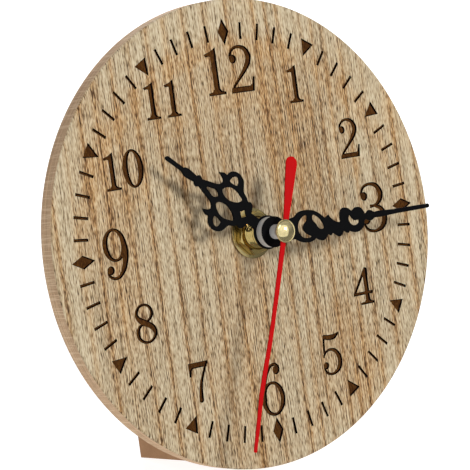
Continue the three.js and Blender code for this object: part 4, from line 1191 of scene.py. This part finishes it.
# Finishes of the solids that stay as they are
KEPT = {
    "acetal": ["train_bridge", "rotor_pinion", "intermediate_wheel", "third_wheel", "motion_wheel",
               "second_wheel", "centre_wheel", "minute_cannon", "hour_wheel"],
    "steel": ["second_arbor", "stator_plate", "coil_core", "quartz_crystal"],
    "nickel": ["battery_contact_positive", "battery_contact_negative"],
    "copper": ["motor_coil"],
    "magnet": ["rotor_magnet"],
    "circuit": ["circuit_board"],
    "resin": ["clock_chip"],
}
for finish, members in KEPT.items():
    for member in members:
        nodes[member].data.materials.clear()
        nodes[member].data.materials.append(look[finish])


# Stage, light and camera

CLOCK_MIDDLE = Vector((0, 0, 0.06))


def add_stage(name, points, faces, glow):
    """White paper that doesn't show in the clock's brass."""
    paper = Finish(name + "_paper")
    paper.paint(Base_Color=(0.35, 0.35, 0.35, 1), Roughness=0.9, Specular_IOR_Level=0.1,
                Emission_Color=(1, 1, 1, 1), Emission_Strength=glow)
    sheet = set_up(name, mesh_of(name, points, faces, [paper.material]))
    sheet.visible_glossy = False
    return sheet


def add_floor():
    """A white table, whose light reaches the rim and the foot from below."""
    reach = 6.0
    corners = [(-reach, -reach, 0), (reach, -reach, 0), (reach, reach, 0), (-reach, reach, 0)]
    add_stage("pale_floor", corners, [(0, 1, 2, 3)], glow=0.9)


def add_backdrop():
    """A pale dome that stands on the floor, far behind the lamps."""
    reach, sides, levels = 5.9, 48, 10
    points = []
    for rise in np.linspace(0, 0.48 * pi, levels):
        ring = circle(reach * cos(rise), steps=sides)
        points += [(x, y, reach * sin(rise)) for x, y in ring]
    rows = numbered([range(sides)] * levels)
    faces = [*bridge(rows, rows[1:]), rows[-1][::-1]]
    dome = add_stage("pale_backdrop", points, faces, glow=1.1)
    dome.visible_diffuse = False
    dome.visible_shadow = False


def add_light(name, place, size, power, lights=True):
    """A square lamp aimed at the clock; one that doesn't light is a card for brass to mirror."""
    lamp = bpy.data.lights.new(name, "AREA")
    lamp.size = size
    lamp.energy = power
    holder = set_up(name, lamp)
    holder.location = place
    holder.visible_diffuse = lights
    aim = CLOCK_MIDDLE - Vector(place)
    holder.rotation_euler = aim.to_track_quat("-Z", "Y").to_euler()


def add_camera():
    """The camera that was fitted to the photograph, placed and turned in the dial's frame."""
    eye = Vector((-350.713, -466.287, 33.237))
    tilt, roll, pan = radians(86.7205), radians(7.9441), radians(-36.9875)
    camera = bpy.data.cameras.new("photo_camera")
    camera.sensor_width = 36.0
    camera.lens = 175.557
    camera.clip_start = 0.02
    holder = set_up("photo_camera", camera)
    aim = TURN @ Euler((tilt, roll, pan)).to_matrix()
    holder.matrix_world = Matrix.Translation(DIAL @ eye) @ aim.to_4x4()
    bpy.context.scene.camera = holder


def add_world():
    """A room, bright above and dim below, that shows only in polished metal and lacquer."""
    world = bpy.data.worlds.new("studio_room")
    world.use_nodes = True
    room = Graph(world.node_tree)
    height = room.parts(room.node("ShaderNodeTexCoord"))[2]
    dim, level, bright = (0.26,) * 3, (0.22,) * 3, (0.5,) * 3
    glow = room.ramp(height * 0.5 + 0.5, [(0.3, dim), (0.5, level), (0.8, bright)])
    room.feed(world.node_tree.nodes["Background"].inputs["Color"], glow)
    world.cycles_visibility.diffuse = False
    bpy.context.scene.world = world


add_floor()
add_backdrop()
add_world()
add_camera()
add_light("key", (0.25, -1.89, 1.257), size=0.55, power=42.0)
add_light("card", (-0.6, -1.35, 0.5), size=4.6, power=50.0, lights=False)
add_light("fill", (-0.7, 0.1, 1.0), size=0.9, power=4.5)
add_light("rear", (0.62, 0.92, 0.62), size=0.5, power=10.0)
bpy.context.scene.view_settings.view_transform = "Standard"
